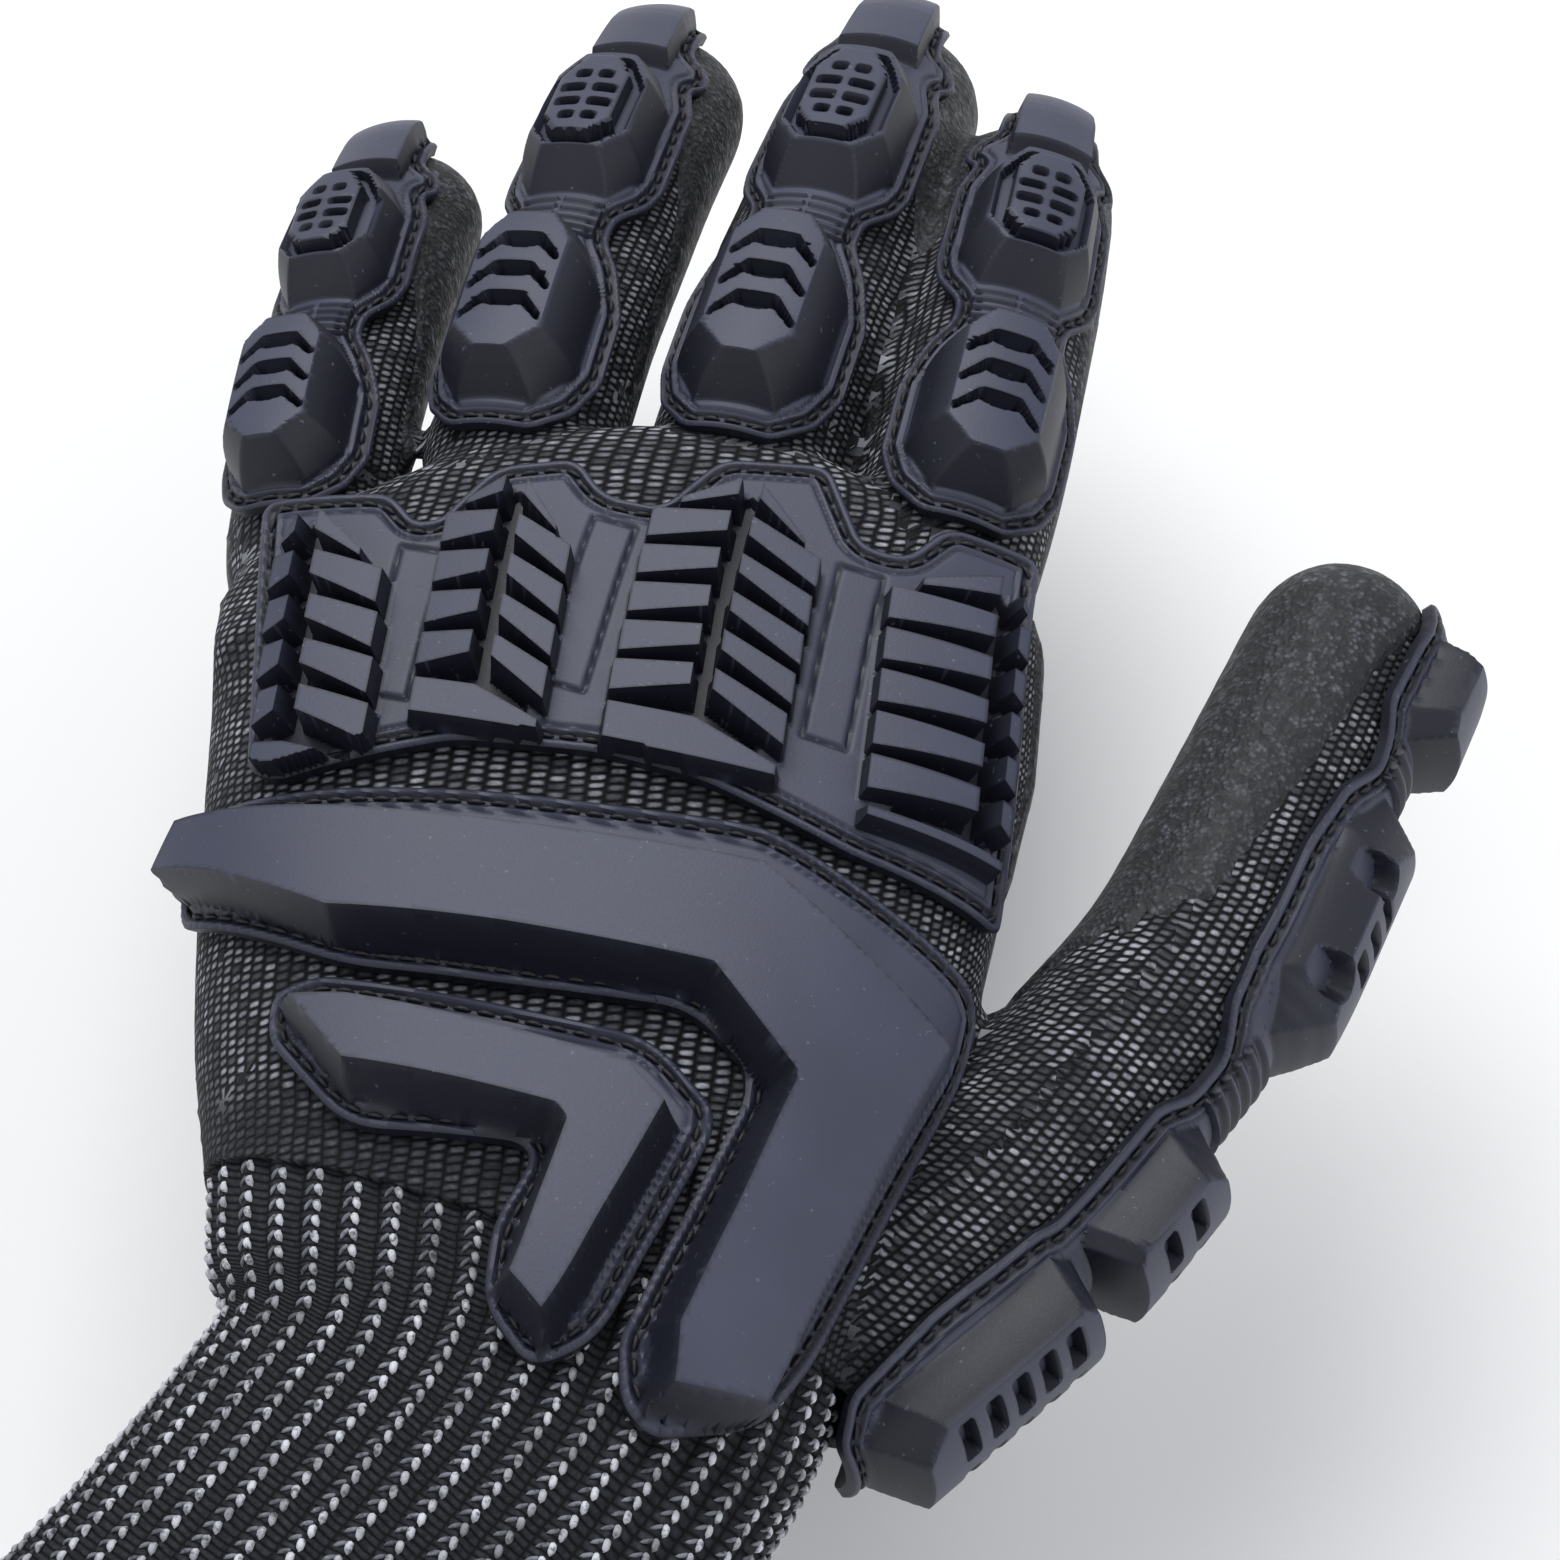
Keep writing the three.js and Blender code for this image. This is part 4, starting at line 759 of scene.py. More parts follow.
def plied_yarn(tree, shader, colour):
    """Glass-and-polyester yarn, plied with black: light grey with dark flecks."""
    fleck = node(tree, RAMP, [node(tree, NOISE, grains(tree, 0.9, 2, 0.6))], stops=[(0.3, 0.1), (0.5, 1)])
    patch = node(tree, RAMP, [node(tree, NOISE, grains(tree, 4.5, 2))], stops=[(0.35, 0.35), (0.6, 1)])
    share = node(tree, MATH, [fleck, patch], operation="MULTIPLY")
    plies = node(tree, NOISE, grains(tree, 0.22, 2))
    yarn = node(tree, MIX, {0: share, 6: linear("#2a2c33"), 7: linear(colour)}, 2, **COLOURS)
    wire(tree, shader, {"Base Color": yarn, "Roughness": 0.8,
                        "Normal": node(tree, BUMP, {"Height": plies, "Distance": 0.12 * MM})})


def heather_knit(tree, shader, colours, wale, course, pale, slant):
    """Cut-resistant heather yarn, knitted plain: columns and rows of loops, wale and course millimetres
    apart, with a pale glass strand on each near leg, shown only on the loops' crowns, partly as painted
    highlight, and the hollows between them in painted shade. Real loops are finer and wouldn't show in the
    render."""
    place = node(tree, "ShaderNodeUVMap", uv_map="knit")
    wobble = node(tree, NOISE, {"Vector": place, "Scale": 180.0, "Detail": 2.0}, "Color")
    drift = node(tree, "ShaderNodeVectorMath", [wobble, (0.9 * MM, 0.9 * MM, 0), place],
                 operation="MULTIPLY_ADD")
    flat = node(tree, SPLIT, [drift], None).outputs
    across = node(tree, MATH, [flat[0], wale * MM], operation="DIVIDE")
    along = node(tree, MATH, [flat[1], course * MM], operation="DIVIDE")
    in_column = node(tree, MATH, [across], operation="FRACT")
    row = node(tree, MATH, [in_column, -slant, along], operation="MULTIPLY_ADD")
    # how far across its column and its row a point lies: 0 in the middle, 1 at the edges
    leg, fall = (node(tree, MATH, [node(tree, MATH, [axis, 0.5], operation="PINGPONG"), -2.0, 1.0],
                      operation="MULTIPLY_ADD") for axis in (across, row))
    fallen = node(tree, MATH, [1.0, node(tree, MATH, [fall, fall], operation="MULTIPLY")],
                  operation="SUBTRACT")
    bowed = node(tree, MATH, [1.0, node(tree, MATH, [leg, 2.5], operation="POWER")], operation="SUBTRACT")
    height = node(tree, MATH, [node(tree, MATH, [fallen], operation="SQRT"),
                               node(tree, MATH, [bowed, 0.4], operation="POWER")], operation="MULTIPLY")
    cell = node(tree, "ShaderNodeCombineXYZ",
                [node(tree, MATH, [axis], operation="FLOOR") for axis in (across, row)])
    chance = node(tree, "ShaderNodeTexWhiteNoise", {"Vector": cell}, noise_dimensions="3D")
    ply = node(tree, NOISE, {"Vector": place, "Scale": 1500.0, "Detail": 2.0})
    patch = node(tree, NOISE, {"Vector": place, "Scale": 110.0, "Detail": 3.0})
    spot = node(tree, SPLIT, [node(tree, PLACE, out="Object")], None).outputs
    above = node(tree, MATH, [spot[0], WRIST_SLANT, spot[1]], operation="MULTIPLY_ADD")
    above = node(tree, MATH, [above, 50.0], operation="MULTIPLY")
    # partly yarn colour, partly painted highlight: the pale strand shows only on the crown of each loop
    strand = node(tree, RAMP, [height], stops=[(0.72, 0), (0.97, 1)])
    share = node(tree, MATH, [strand, pale], operation="MULTIPLY")
    # the pale strand differs from loop to loop and in patches, breaks up by ply, and fades towards the cuff
    for value, *stops in ((chance, (0.1, 0.12), (0.85, 1)), (patch, (0.35, 0.35), (0.62, 1)),
                          (ply, (0.3, 0.45), (0.6, 1)), (above, (0.2, 0.15), (0.45, 1))):
        share = node(tree, MATH, [share, node(tree, RAMP, [value], stops=stops)], operation="MULTIPLY")
    black = node(tree, RAMP, [ply], stops=[(0.35, 0), (0.7, 1)])
    dark = node(tree, MIX, {0: black, 6: linear(colours.knit_dark), 7: linear("#2c2e35")}, 2, **COLOURS)
    yarn = node(tree, MIX, {0: share, 6: dark, 7: linear(colours.knit_light)}, 2, **COLOURS)
    # painted shade: the hollows between the loops darken to near black
    depth = node(tree, RAMP, [height], stops=[(0.35, 0), (0.85, 1)])
    shaded = node(tree, MIX, {0: depth, 6: linear("#060608"), 7: yarn}, 2, **COLOURS)
    fuzz = node(tree, NOISE, grains(tree, 0.25, 2))
    total = node(tree, MATH, [fuzz, 0.25, height], operation="MULTIPLY_ADD")
    wire(tree, shader, {"Base Color": shaded, "Roughness": 0.8, "Specular IOR Level": 0.3,
                        "Normal": node(tree, BUMP, {"Height": total, "Distance": 0.5 * MM, "Strength": 0.9})})


def sandy_dip(tree, shader, colours):
    """Sandy nitrile dip: a black rubber skin full of tiny crinkles and grains, with painted highlight on the
    raised grains.
    """
    place = node(tree, PLACE, out="Object")
    grain = node(tree, "ShaderNodeTexVoronoi", {"Vector": place, "Scale": 1 / (0.8 * MM)}, feature="F1")
    crinkle = node(tree, NOISE, grains(tree, 1.6, 5, 0.65))
    broad = node(tree, RAMP, [node(tree, NOISE, grains(tree, 9, 3))], stops=[(0.4, 0), (0.65, 1)])
    height = node(tree, MATH, [grain, -0.5, crinkle], operation="MULTIPLY_ADD")
    # painted highlight: the raised grains take the paler colour, in broad patches
    raised = node(tree, RAMP, [height], stops=[(0.28, 0), (0.55, 1)])
    patchy = node(tree, MATH, [broad, 0.55, 0.35], operation="MULTIPLY_ADD")
    share = node(tree, MATH, [raised, patchy], operation="MULTIPLY")
    colour = node(tree, MIX, {0: share, 6: linear(colours.coat), 7: linear(colours.coat_highlight)}, 2, **COLOURS)
    wire(tree, shader, {"Base Color": colour,
                        "Roughness": node(tree, RAMP, [crinkle], stops=[(0.3, 0.75), (0.7, 0.42)]),
                        "Normal": node(tree, BUMP,
                                       {"Height": height, "Distance": 0.5 * MM, "Strength": 0.8})})


def backdrop_paint(tree, shader, colours):
    """Matt painted backdrop: an even pale grey with a faint roller texture."""
    faint = node(tree, MATH, [node(tree, NOISE, grains(tree, 40, 3)), 0.3], operation="MULTIPLY")
    colour = node(tree, MIX, {0: faint, 6: linear(colours.floor), 7: linear("#f4f4f4")}, 2, **COLOURS)
    wire(tree, shader, {"Base Color": colour, "Roughness": 0.9})


# Knit


def root_bow(x, y):
    """How far the roots of the fingers fall back towards the wrist at x, growing along the palm."""
    return smooth((y / PALM_LENGTH - 0.55) / 0.4) * ROOT_CURVE * (x - ROOT_MIDDLE) ** 2


def palm_parameters(points):
    """Where points lie on the palm: arc from the crown, distance from the wrist, and height off its skin."""
    y = np.clip(points[:, 1], -30, 114)
    centre, half, crown, sole = body_section(y).T
    x, z = points[:, 0] - centre, points[:, 2]
    rise = np.where(z > 0, crown, sole)
    size = ((np.abs(x) / half) ** SQUARENESS + (np.abs(z) / rise) ** SQUARENESS) ** (1 / SQUARENESS)
    arc = (math.pi / 2 - np.arctan2(z / rise, x / half)) * (half + rise) / 2
    beyond = np.maximum(points[:, 1] + root_bow(points[:, 0], y) - PALM_END * PALM_LENGTH, 0)
    return arc, y, (size - 1) * np.minimum(half, rise) + beyond


def limb_parameters(limb, points):
    """As palm_parameters, on a limb, with how far round to its back and along it they lie, as shares."""
    best = np.full(len(points), 1e9)
    index = np.zeros(len(points), int)
    for i in range(0, len(limb.middle), 2):
        d = np.linalg.norm(points - limb.middle[i], axis=1)
        closer = d < best
        best[closer], index[closer] = d[closer], i
    rel = points - limb.middle[index]
    side = rel @ limb.lateral / np.maximum(limb.deep[index], 0.1)
    back = np.sum(rel * limb.normal[index], axis=1)
    full = limb.full[index]
    ahead = np.where(index >= 60, np.sum(rel * limb.tangent[index], axis=1), 0)
    size = np.sqrt((side / full) ** 2 + (back / full / FLATNESS) ** 2 + (ahead / full) ** 2)
    angle = np.arctan2(back, side)
    t = index / (len(limb.middle) - 1)
    distance = t * limb.length + np.sum(rel * limb.tangent[index], axis=1)
    return (math.pi / 2 - angle) * full, distance, (size - 1) * full, back / limb.half, t


def hand_skin():
    """The palm, fingers and thumb as one smooth closed skin."""
    vertices, faces = [], []

    def add(rings):
        start, sides, last = len(vertices), len(rings[0]), len(rings) - 1
        vertices.extend(np.concatenate(rings))
        faces.extend(tube_faces(len(rings), sides, start))
        vertices.extend([np.mean(rings[0], axis=0), np.mean(rings[-1], axis=0)])
        foot, tip = len(vertices) - 2, len(vertices) - 1
        for i in range(sides):
            j = (i + 1) % sides
            faces.append((foot, start + j, start + i))
            faces.append((tip, start + last * sides + i, start + last * sides + j))

    rings = []
    stations = [(d, 0.0) for d in np.linspace(-16, 0.98 * PALM_LENGTH, 44)]
    for d, less in stations + [(1.005 * PALM_LENGTH, 1.3), (PALM_END * PALM_LENGTH, 4.0)]:
        centre, half, crown, sole = body_section(d)[0]
        middle, side = (v[0] for v in body_frame(d))
        x, z = oval(np.radians(np.arange(96) * 3.75), half - less, crown - less, sole - less)
        ring = middle + np.outer(centre + x, side)
        ring[:, 2] += z
        ring[:, 1] -= root_bow(ring[:, 0], d)
        if d > 0.5 * PALM_LENGTH:
            centre, half = body_section(ring[:, 1]).T[:2]
            ring[:, 0] = np.clip(ring[:, 0], centre - half, centre + half)
        rings.append(ring)
    add(rings)
    angles = np.radians(np.arange(40) * 9)
    for name, limb in LIMBS.items():
        rings = []
        for i in [*range(0, 64, 3), *range(64, 71)]:
            # a finger is narrower inside the palm
            root = 1 if name == "thumb" else 0.45 + 0.55 * float(smooth(i / 70 / 0.26))
            width = max(limb.width[i] * root, 0.5)
            rings.append(limb.middle[i] + np.outer(width * limb.deep[i] * np.cos(angles), limb.lateral)
                         + np.outer(width * FLATNESS * np.sin(angles), limb.normal[i]))
        add(rings)
    obj = new_object("hand_skin", vertices, faces)
    face_outwards(obj)
    remesh = obj.modifiers.new("one skin", "REMESH")
    remesh.mode = "VOXEL"
    remesh.voxel_size = bpy.context.scene.glove_sizes.skin_step
    smoothing = obj.modifiers.new("soften", "SMOOTH")
    smoothing.factor = 0.5
    smoothing.iterations = 8
    return applied(obj)


def coat_amount(points, part, back, t):
    """How far inside the dipped area points lie, in millimetres, more than 0 where they are coated."""
    x, y, z = points.T
    amount = np.minimum(-0.05 * WRIST_DEPTH - z, y - 0.05 * PALM_LENGTH)
    side = np.minimum.reduce([x - 0.3 * KNUCKLE_WIDTH, 2.5 - z, y - 0.56 * PALM_LENGTH])
    amount = np.maximum(amount, np.where(part == 0, side, -9))
    for k, (name, limb) in enumerate(LIMBS.items()):
        edge = np.interp(t, COAT_ALONG, COAT_THUMB if name == "thumb" else COAT_FINGER)
        dipped = np.minimum((edge - back) * limb.half, (t - COAT_ALONG[0]) * limb.length)
        amount = np.where(part == k + 1, np.maximum(amount, dipped), amount)
    return amount


def classify(mesh):
    """The part that each vertex belongs to, its knit coordinates and its coat amount, in millimetres."""
    points = read(mesh.vertices, "co", 3) / MM
    u, v, best = palm_parameters(points)
    part = np.zeros(len(points), int)
    back, along = np.zeros(len(points)), np.zeros(len(points))
    for k, limb in enumerate(LIMBS.values()):
        arc, distance, gap, rise, t = limb_parameters(limb, points)
        nearer = np.abs(gap) < np.abs(best)
        part[nearer] = k + 1
        for table, values in ((u, arc + 300 * (k + 1)), (v, distance), (best, gap), (back, rise), (along, t)):
            table[nearer] = values[nearer]
    return part, u, v, coat_amount(points, part, back, along)


def add_knit_map(obj):
    """A UV map in metres over the knit: along the loops' columns and across them, part by part."""
    mesh = obj.data
    part, u, v, _ = classify(mesh)
    flat = np.stack([u, v], -1)
    loops = read(mesh.loops, "vertex_index", kind=int)
    starts = read(mesh.polygons, "loop_start", kind=int)
    first = np.repeat(loops[starts], np.diff([*starts, len(loops)]))
    # a face that spans two parts, or a part's seam, takes the place of its first corner all over
    torn = (part[loops] != part[first])[:, None] | (np.abs(flat[loops] - flat[first]) > 12)
    set_map(mesh, np.where(torn, flat[first], flat[loops]))


def set_map(mesh, places):
    """The UV map called knit, from each loop's place in millimetres."""
    uv = mesh.uv_layers.new(name="knit")
    uv.data.foreach_set("uv", (places * MM).astype(np.float32).ravel())


def wrist_edge(x):
    """How far from the wrist the hand's knit ends and the ribs begin: further on the little finger's side."""
    return 4.0 - WRIST_SLANT * (x + 40.0)


def cut_open(obj):
    """Takes away the faces below the slanted line where the ribs begin."""
    bm = bmesh.new()
    bm.from_mesh(obj.data)
    bmesh.ops.bisect_plane(bm, geom=bm.verts[:] + bm.edges[:] + bm.faces[:],
                           plane_co=(0, wrist_edge(0) * MM, 0),
                           plane_no=(-WRIST_SLANT, -1, 0), clear_outer=True)
    bm.to_mesh(obj.data)
    bm.free()


class GLOVE_OT_hand_knit(bpy.types.Operator):
    """Knits the palm, the back and the fingers, with a wall of real thickness, and dips the palm side"""
    bl_idname = "glove.hand_knit"
    bl_label = "Knit the hand and dip its palm"

    def execute(self, context):
        skin = hand_skin()
        cut_open(skin)
        store(skin, "coated", classify(skin.data)[3])
        coat = skin.copy()
        coat.data = skin.data.copy()
        coat.name = "dipped_palm"
        context.scene.collection.objects.link(coat)
        self.dip(coat)
        add_knit_map(skin)
        skin.name = "hand_knit"
        thicken(skin, context.scene.glove_sizes.knit_wall)
        colours = context.scene.glove_colours
        skin.data.materials.append(finish("heather knit", heather_knit, colours, 1.6, 1.15, 0.95, 0.45))
        finish_piece(skin, "knit", "knit_liner")
        return {"FINISHED"}

    @staticmethod
    def dip(coat):
        """Keeps the dipped faces, lifted off the knit, with their edge sunk into it."""
        bm = bmesh.new()
        bm.from_mesh(coat.data)
        layer = bm.verts.layers.float["coated"]
        bare = [face for face in bm.faces if max(v[layer] for v in face.verts) < -0.9]
        bmesh.ops.delete(bm, geom=bare, context="FACES")
        bm.normal_update()
        for vertex in bm.verts:
            vertex.co += vertex.normal * MM * (-0.35 + 0.95 * float(smooth((vertex[layer] + 0.8) / 1.6)))
        bm.to_mesh(coat.data)
        bm.free()
        thicken(coat, 0.4 * MM)
        coat.data.materials.append(finish("sandy nitrile dip", sandy_dip, bpy.context.scene.glove_colours))
        finish_piece(coat, "palm_coating", "palm_coating")


class GLOVE_OT_cuff(bpy.types.Operator):
    """Knits the ribbed cuff, with its columns of pale V loops, and binds its end"""
    bl_idname = "glove.cuff"
    bl_label = "Knit the cuff and bind its end"

    def execute(self, context):
        self.ribs(context)
        for side in ("left", "right"):
            self.loops(context, side)
        self.hem()
        return {"FINISHED"}

    @staticmethod
    def ribs(context):
        sides, rows = CUFF_RIBS * 8, 50
        shares = np.arange(sides) / sides
        along = np.linspace(7, -CUFF_LENGTH - 1.5, rows)
        vertices = np.concatenate([cuff_points(d, shares, np.zeros(sides)) for d in along])
        cuff = new_object("ribbed_cuff", vertices, tube_faces(rows, sides))
        # the map's width is 4.4 mm for each rib, and the last column of faces runs on past the seam
        width = CUFF_RIBS * 4.4
        flat = np.stack([np.tile(shares, rows) * width, np.repeat(along, sides)], -1)
        places = flat[read(cuff.data.loops, "vertex_index", kind=int)]
        seam = np.repeat(np.arange(len(cuff.data.polygons)) % sides == sides - 1, 4)
        places[seam & (places[:, 0] < 20), 0] += width
        set_map(cuff.data, places)
        face_outwards(cuff)
        face = cuff.data.polygons[0]
        if face.normal.dot(face.center - Vector(vertices[:sides].mean(0) * MM)) < 0:
            cuff.data.flip_normals()
        thicken(cuff, context.scene.glove_sizes.knit_wall)
        colours = context.scene.glove_colours
        cuff.data.materials.append(finish("heather rib knit", heather_knit, colours, 2.2, 0.95, 0.2, 0.1))
        finish_piece(cuff, "knit")

    @staticmethod
    def loops(context, side):
        """The near or far legs of the V loops that stand up along every rib, of plied yarn; the far legs'
        darker yarn is painted shade.
        """
        name, hexes, length, width, offset, tilt = LOOP_LEGS[side]
        pitch = context.scene.glove_sizes.loop_pitch / MM
        leg = capsule(f"loop_leg_{side}", pitch * length, width, 0.8 * width, 0.3)
        shares = (np.arange(CUFF_RIBS) + offset) / CUFF_RIBS
        along = np.linspace(3.6, -CUFF_LENGTH, 70)
        low, high = (np.array([cuff_points(d, shares, np.full(CUFF_RIBS, height)) for d in along])
                     for height in (0.15, 1.15))
        shown = low[:, :, 1] < wrist_edge(low[:, :, 0]) - 0.7
        lines = [low[shown[:, k], k] for k in range(CUFF_RIBS)]
        ups = [(high - low)[shown[:, k], k] for k in range(CUFF_RIBS)]
        yarn = finish(name, plied_yarn, getattr(context.scene.glove_colours, hexes))
        repeat_along(f"cuff_loops_{side}", lines, ups, leg, pitch, yarn, "knit", tilt)

    @staticmethod
    def hem():
        """The overlocked edge, ribbed across by its yarn."""
        sides = 288
        shares = np.arange(sides) / sides
        ridge = 0.18 * np.cos(shares * 2 * np.pi * sides / 3)
        rings = []
        for share, height in HEM_PROFILE:
            along = -CUFF_LENGTH - 0.35 - share * HEM_WIDTH
            rings.append(cuff_points(along, shares, height - 2.0 + ridge * (height > 1)))
        hem = new_object("bound_hem", np.concatenate(rings), tube_faces(len(rings), sides, ring=True))
        face_outwards(hem)
        # the yarn's second colour is its painted sheen
        yarn = finish("overlock yarn", twisted_yarn, 0.5, 3, "#0c0c0f", "#24252b", 0.2, 0.9)
        hem.data.materials.append(yarn)
        finish_piece(hem, "hem", "cuff_hem")


def cuff_points(d, shares, heights):
    """Points round the cuff at a distance from the wrist, shares of its girth and heights over its skin."""
    centre, half, crown, sole = body_section(d)[0]
    middle, side = (v[0] for v in body_frame(d))
    x, z = oval(np.linspace(0, 2 * np.pi, 1441), half, crown, sole)
    girth = np.concatenate([[0], np.cumsum(np.hypot(np.diff(x), np.diff(z)))])

    def spot(at):
        at = np.mod(at, girth[-1])
        return np.stack([np.interp(at, girth, x), np.interp(at, girth, z)])
    at = np.mod(shares, 1) * girth[-1]
    px, pz = spot(at)
    tx, tz = spot(at + 0.5) - spot(at - 0.5)
    lift = (heights + RIB_DEPTH * np.cos(shares * 2 * np.pi * CUFF_RIBS) - 2 * RIB_DEPTH) / np.hypot(tx, tz)
    points = middle + np.outer(centre + px + tz * lift, side)
    points[:, 2] += pz - tx * lift
    return points


# Guards

GUARD_RIM = [(0, 0.42), (0.05, 0.8), (0.12, 1), (0.25, 1), (0.33, 0.8), (0.38, 0.58), (0.43, 0.58),
             (0.49, 0.84), (0.54, 0.92), (0.73, 0.88), (0.79, 0.72), (0.82, 0.86), (0.86, 0.8), (0.88, 0.56),
             (1, 0.48)]
FIRST_LOBE = [(0.035, 0.42, 0.085, 0.17), (0.11, 0.78, 0.14, 0.31), (0.26, 0.78, 0.29, 0.31),
              (0.355, 0.42, 0.335, 0.19)]
END_LOBE = [(0.455, 0.44, 0.515, 0.22), (0.53, 0.72, 0.56, 0.37), (0.7, 0.68, 0.69, 0.37),
            (0.775, 0.44, 0.745, 0.2)]
TIP_BLOCK = [(0.8, 0.44, 0.825, 0.34), (0.93, 0.42, 0.915, 0.32), (1.0, 0.36, 0.985, 0.27)]
GRID_PLATE = [(0.53, 0.13), (0.57, 0.27), (0.67, 0.27), (0.72, 0.13)]
SCALES = (0.185, 0.24, 0.295)
GUARD_START, GUARD_LENGTH, GUARD_HALF = 28.0, 0.76, 0.94


def lobe_outlines(rows, start, length, half):
    """A raised block's foot and top outlines, from its rows of shares of the limb's length and half width."""
    rows = start * np.array([1, 0, 1, 0]) + np.array(rows) * (length, half, length, half)
    return mirrored(rows[:, :2]), mirrored(rows[:, 2:])


def raise_lobe(height, share, top):
    """The height with a block over it that stands out of the middle of the plate."""
    foot = PLATE / 2
    return np.maximum(height, np.where(share > 0, foot + share * (top - foot), 0))


def neck_ribs(p, h, low, high, half, pitch, rise, level):
    """The height with a corrugated neck from low to high along it, where the plate is still bare."""
    neck = (np.abs(p[:, 0]) < half) & (p[:, 1] > low) & (p[:, 1] < high) & (h <= level)
    return np.where(neck, h + rise * (0.5 + 0.5 * np.cos((p[:, 1] - low) / pitch * 2 * np.pi)), h)


def finger_relief(limb, start):
    """The height over a finger guard's flat rim, and the lines where its faces meet."""
    length, half = limb.length * GUARD_LENGTH, limb.half * GUARD_HALF
    top = PLATE + LOBE
    lobes = [lobe_outlines(rows, start, length, half) for rows in (FIRST_LOBE, END_LOBE, TIP_BLOCK)]
    plate = mirrored([(start + along * length, across * half) for along, across in GRID_PLATE])
    wide, narrow, drop = 0.285 * half, 0.14 * half, 0.034 * length
    scales = [start + share * length for share in SCALES]
    creases = [closed(outline) for outline in [plate, *sum(lobes, ())]]
    creases += [[(-wide, y - drop), (-narrow, y), (narrow, y), (wide, y - drop)] for y in scales]

    def height(p):
        on = np.abs(p[:, 0])
        first, end, tip = (frustum(p, foot, flat) for foot, flat in lobes)
        h = raise_lobe(np.full(len(p), PLATE), first, top)
        h = raise_lobe(h, end, top - 1.2)
        d, _ = edge_distance(p, plate)
        h = np.where((d > -1.0) & (d <= 0) & (end > 0.6), h - 1.3, h)
        h = np.maximum(h, np.where(d > 0, top - 0.4 + 0.4 * np.clip(d / 0.4, 0, 1), 0))
        # scales: cuts that are deep at the front and rise backwards, like overlapping plates
        for y in scales:
            behind = np.where(on < narrow, y, y - (on - narrow) / (wide - narrow) * drop) - p[:, 1]
            gap = 0.03 * length * np.clip(1.1 - on / wide * 0.55, 0, 1)
            cut = (behind > 0) & (behind < gap) & (on < wide) & (first > 0.7)
            share = np.where(cut, behind / np.maximum(gap, 1e-6), 1)
            h = h - cut * 2.8 * (1 - share) ** 0.7
        for row in range(4):
            y = start + (0.568 + row * 0.034) * length
            reach = (0.13 if row in (0, 3) else 0.2) * half
            for side in (-1, 1):
                h = h - 1.5 * bar_share(p, (side * 0.035 * half, y), (side * reach, y), 0.019 * length, 0.2)
        h = raise_lobe(h, tip, PLATE + 2.6)
        low, high = start + 0.372 * length, start + 0.448 * length
        ribbed = neck_ribs(p, h, low, high, 0.42 * half, 0.019 * length, 0.55, np.inf)
        return np.where((on > 0.3) & (first <= 0) & (end <= 0), ribbed, h)
    return height, creases


class GLOVE_OT_finger_guards(bpy.types.Operator):
    """Moulds and sews on one guard for each finger"""
    bl_idname = "glove.finger_guards"
    bl_label = "Mould the finger guards"

    def execute(self, context):
        for name in FINGERS:
            limb = LIMBS[name]
            start = GUARD_START - (FINGERS["ring"][3] - limb.length) * 0.25
            rim = [(start + along * limb.length * GUARD_LENGTH, limb.half * GUARD_HALF * across)
                   for along, across in GUARD_RIM]
            height, creases = finger_relief(limb, start)
            relief(f"{name}_guard", f"{name}_finger_guard", limb.surface(), mirrored(rim), height, 0.27,
                   creases, stitch_inset=1.3)
        return {"FINISHED"}


THUMB_RIM = [(0.03, 0.5), (0.06, 0.78), (0.16, 0.88), (0.27, 0.84), (0.29, 0.78), (0.43, 0.8), (0.465, 0.62),
             (0.505, 0.62), (0.545, 0.9), (0.6, 1), (0.72, 0.98), (0.79, 0.86), (0.83, 0.62), (0.86, 0.66),
             (0.89, 0.8), (0.96, 0.74), (1.02, 0.5)]
HEEL_BLOCK = [(0.045, 0.4, 0.075, 0.24), (0.08, 0.6, 0.1, 0.4), (0.27, 0.62, 0.25, 0.42),
              (0.285, 0.5, 0.265, 0.36)]
ROOT_BLOCK = [(0.295, 0.5, 0.315, 0.36), (0.31, 0.6, 0.33, 0.42), (0.425, 0.58, 0.405, 0.4),
              (0.455, 0.4, 0.425, 0.3)]
JOINT_LOBE = [(0.55, 0.44, 0.6, 0.26), (0.6, 0.78, 0.635, 0.44), (0.76, 0.78, 0.735, 0.44),
              (0.82, 0.44, 0.78, 0.26)]
THUMB_SLOTS = [  # first, count and pitch along the limb, and depth
    (0.655, 3, 0.03, 1.6),
    (0.118, 5, 0.03, 2.2),
    (0.35, 2, 0.035, 2.0),
]
THUMB_BITES = (0.625, 0.73)
THUMB_NECKS = ((0.468, 0.545), (0.825, 0.868))
THUMB_CAP = [(0.87, 0.46, 0.895, 0.34), (0.9, 0.58, 0.915, 0.42), (0.985, 0.5, 0.965, 0.36)]


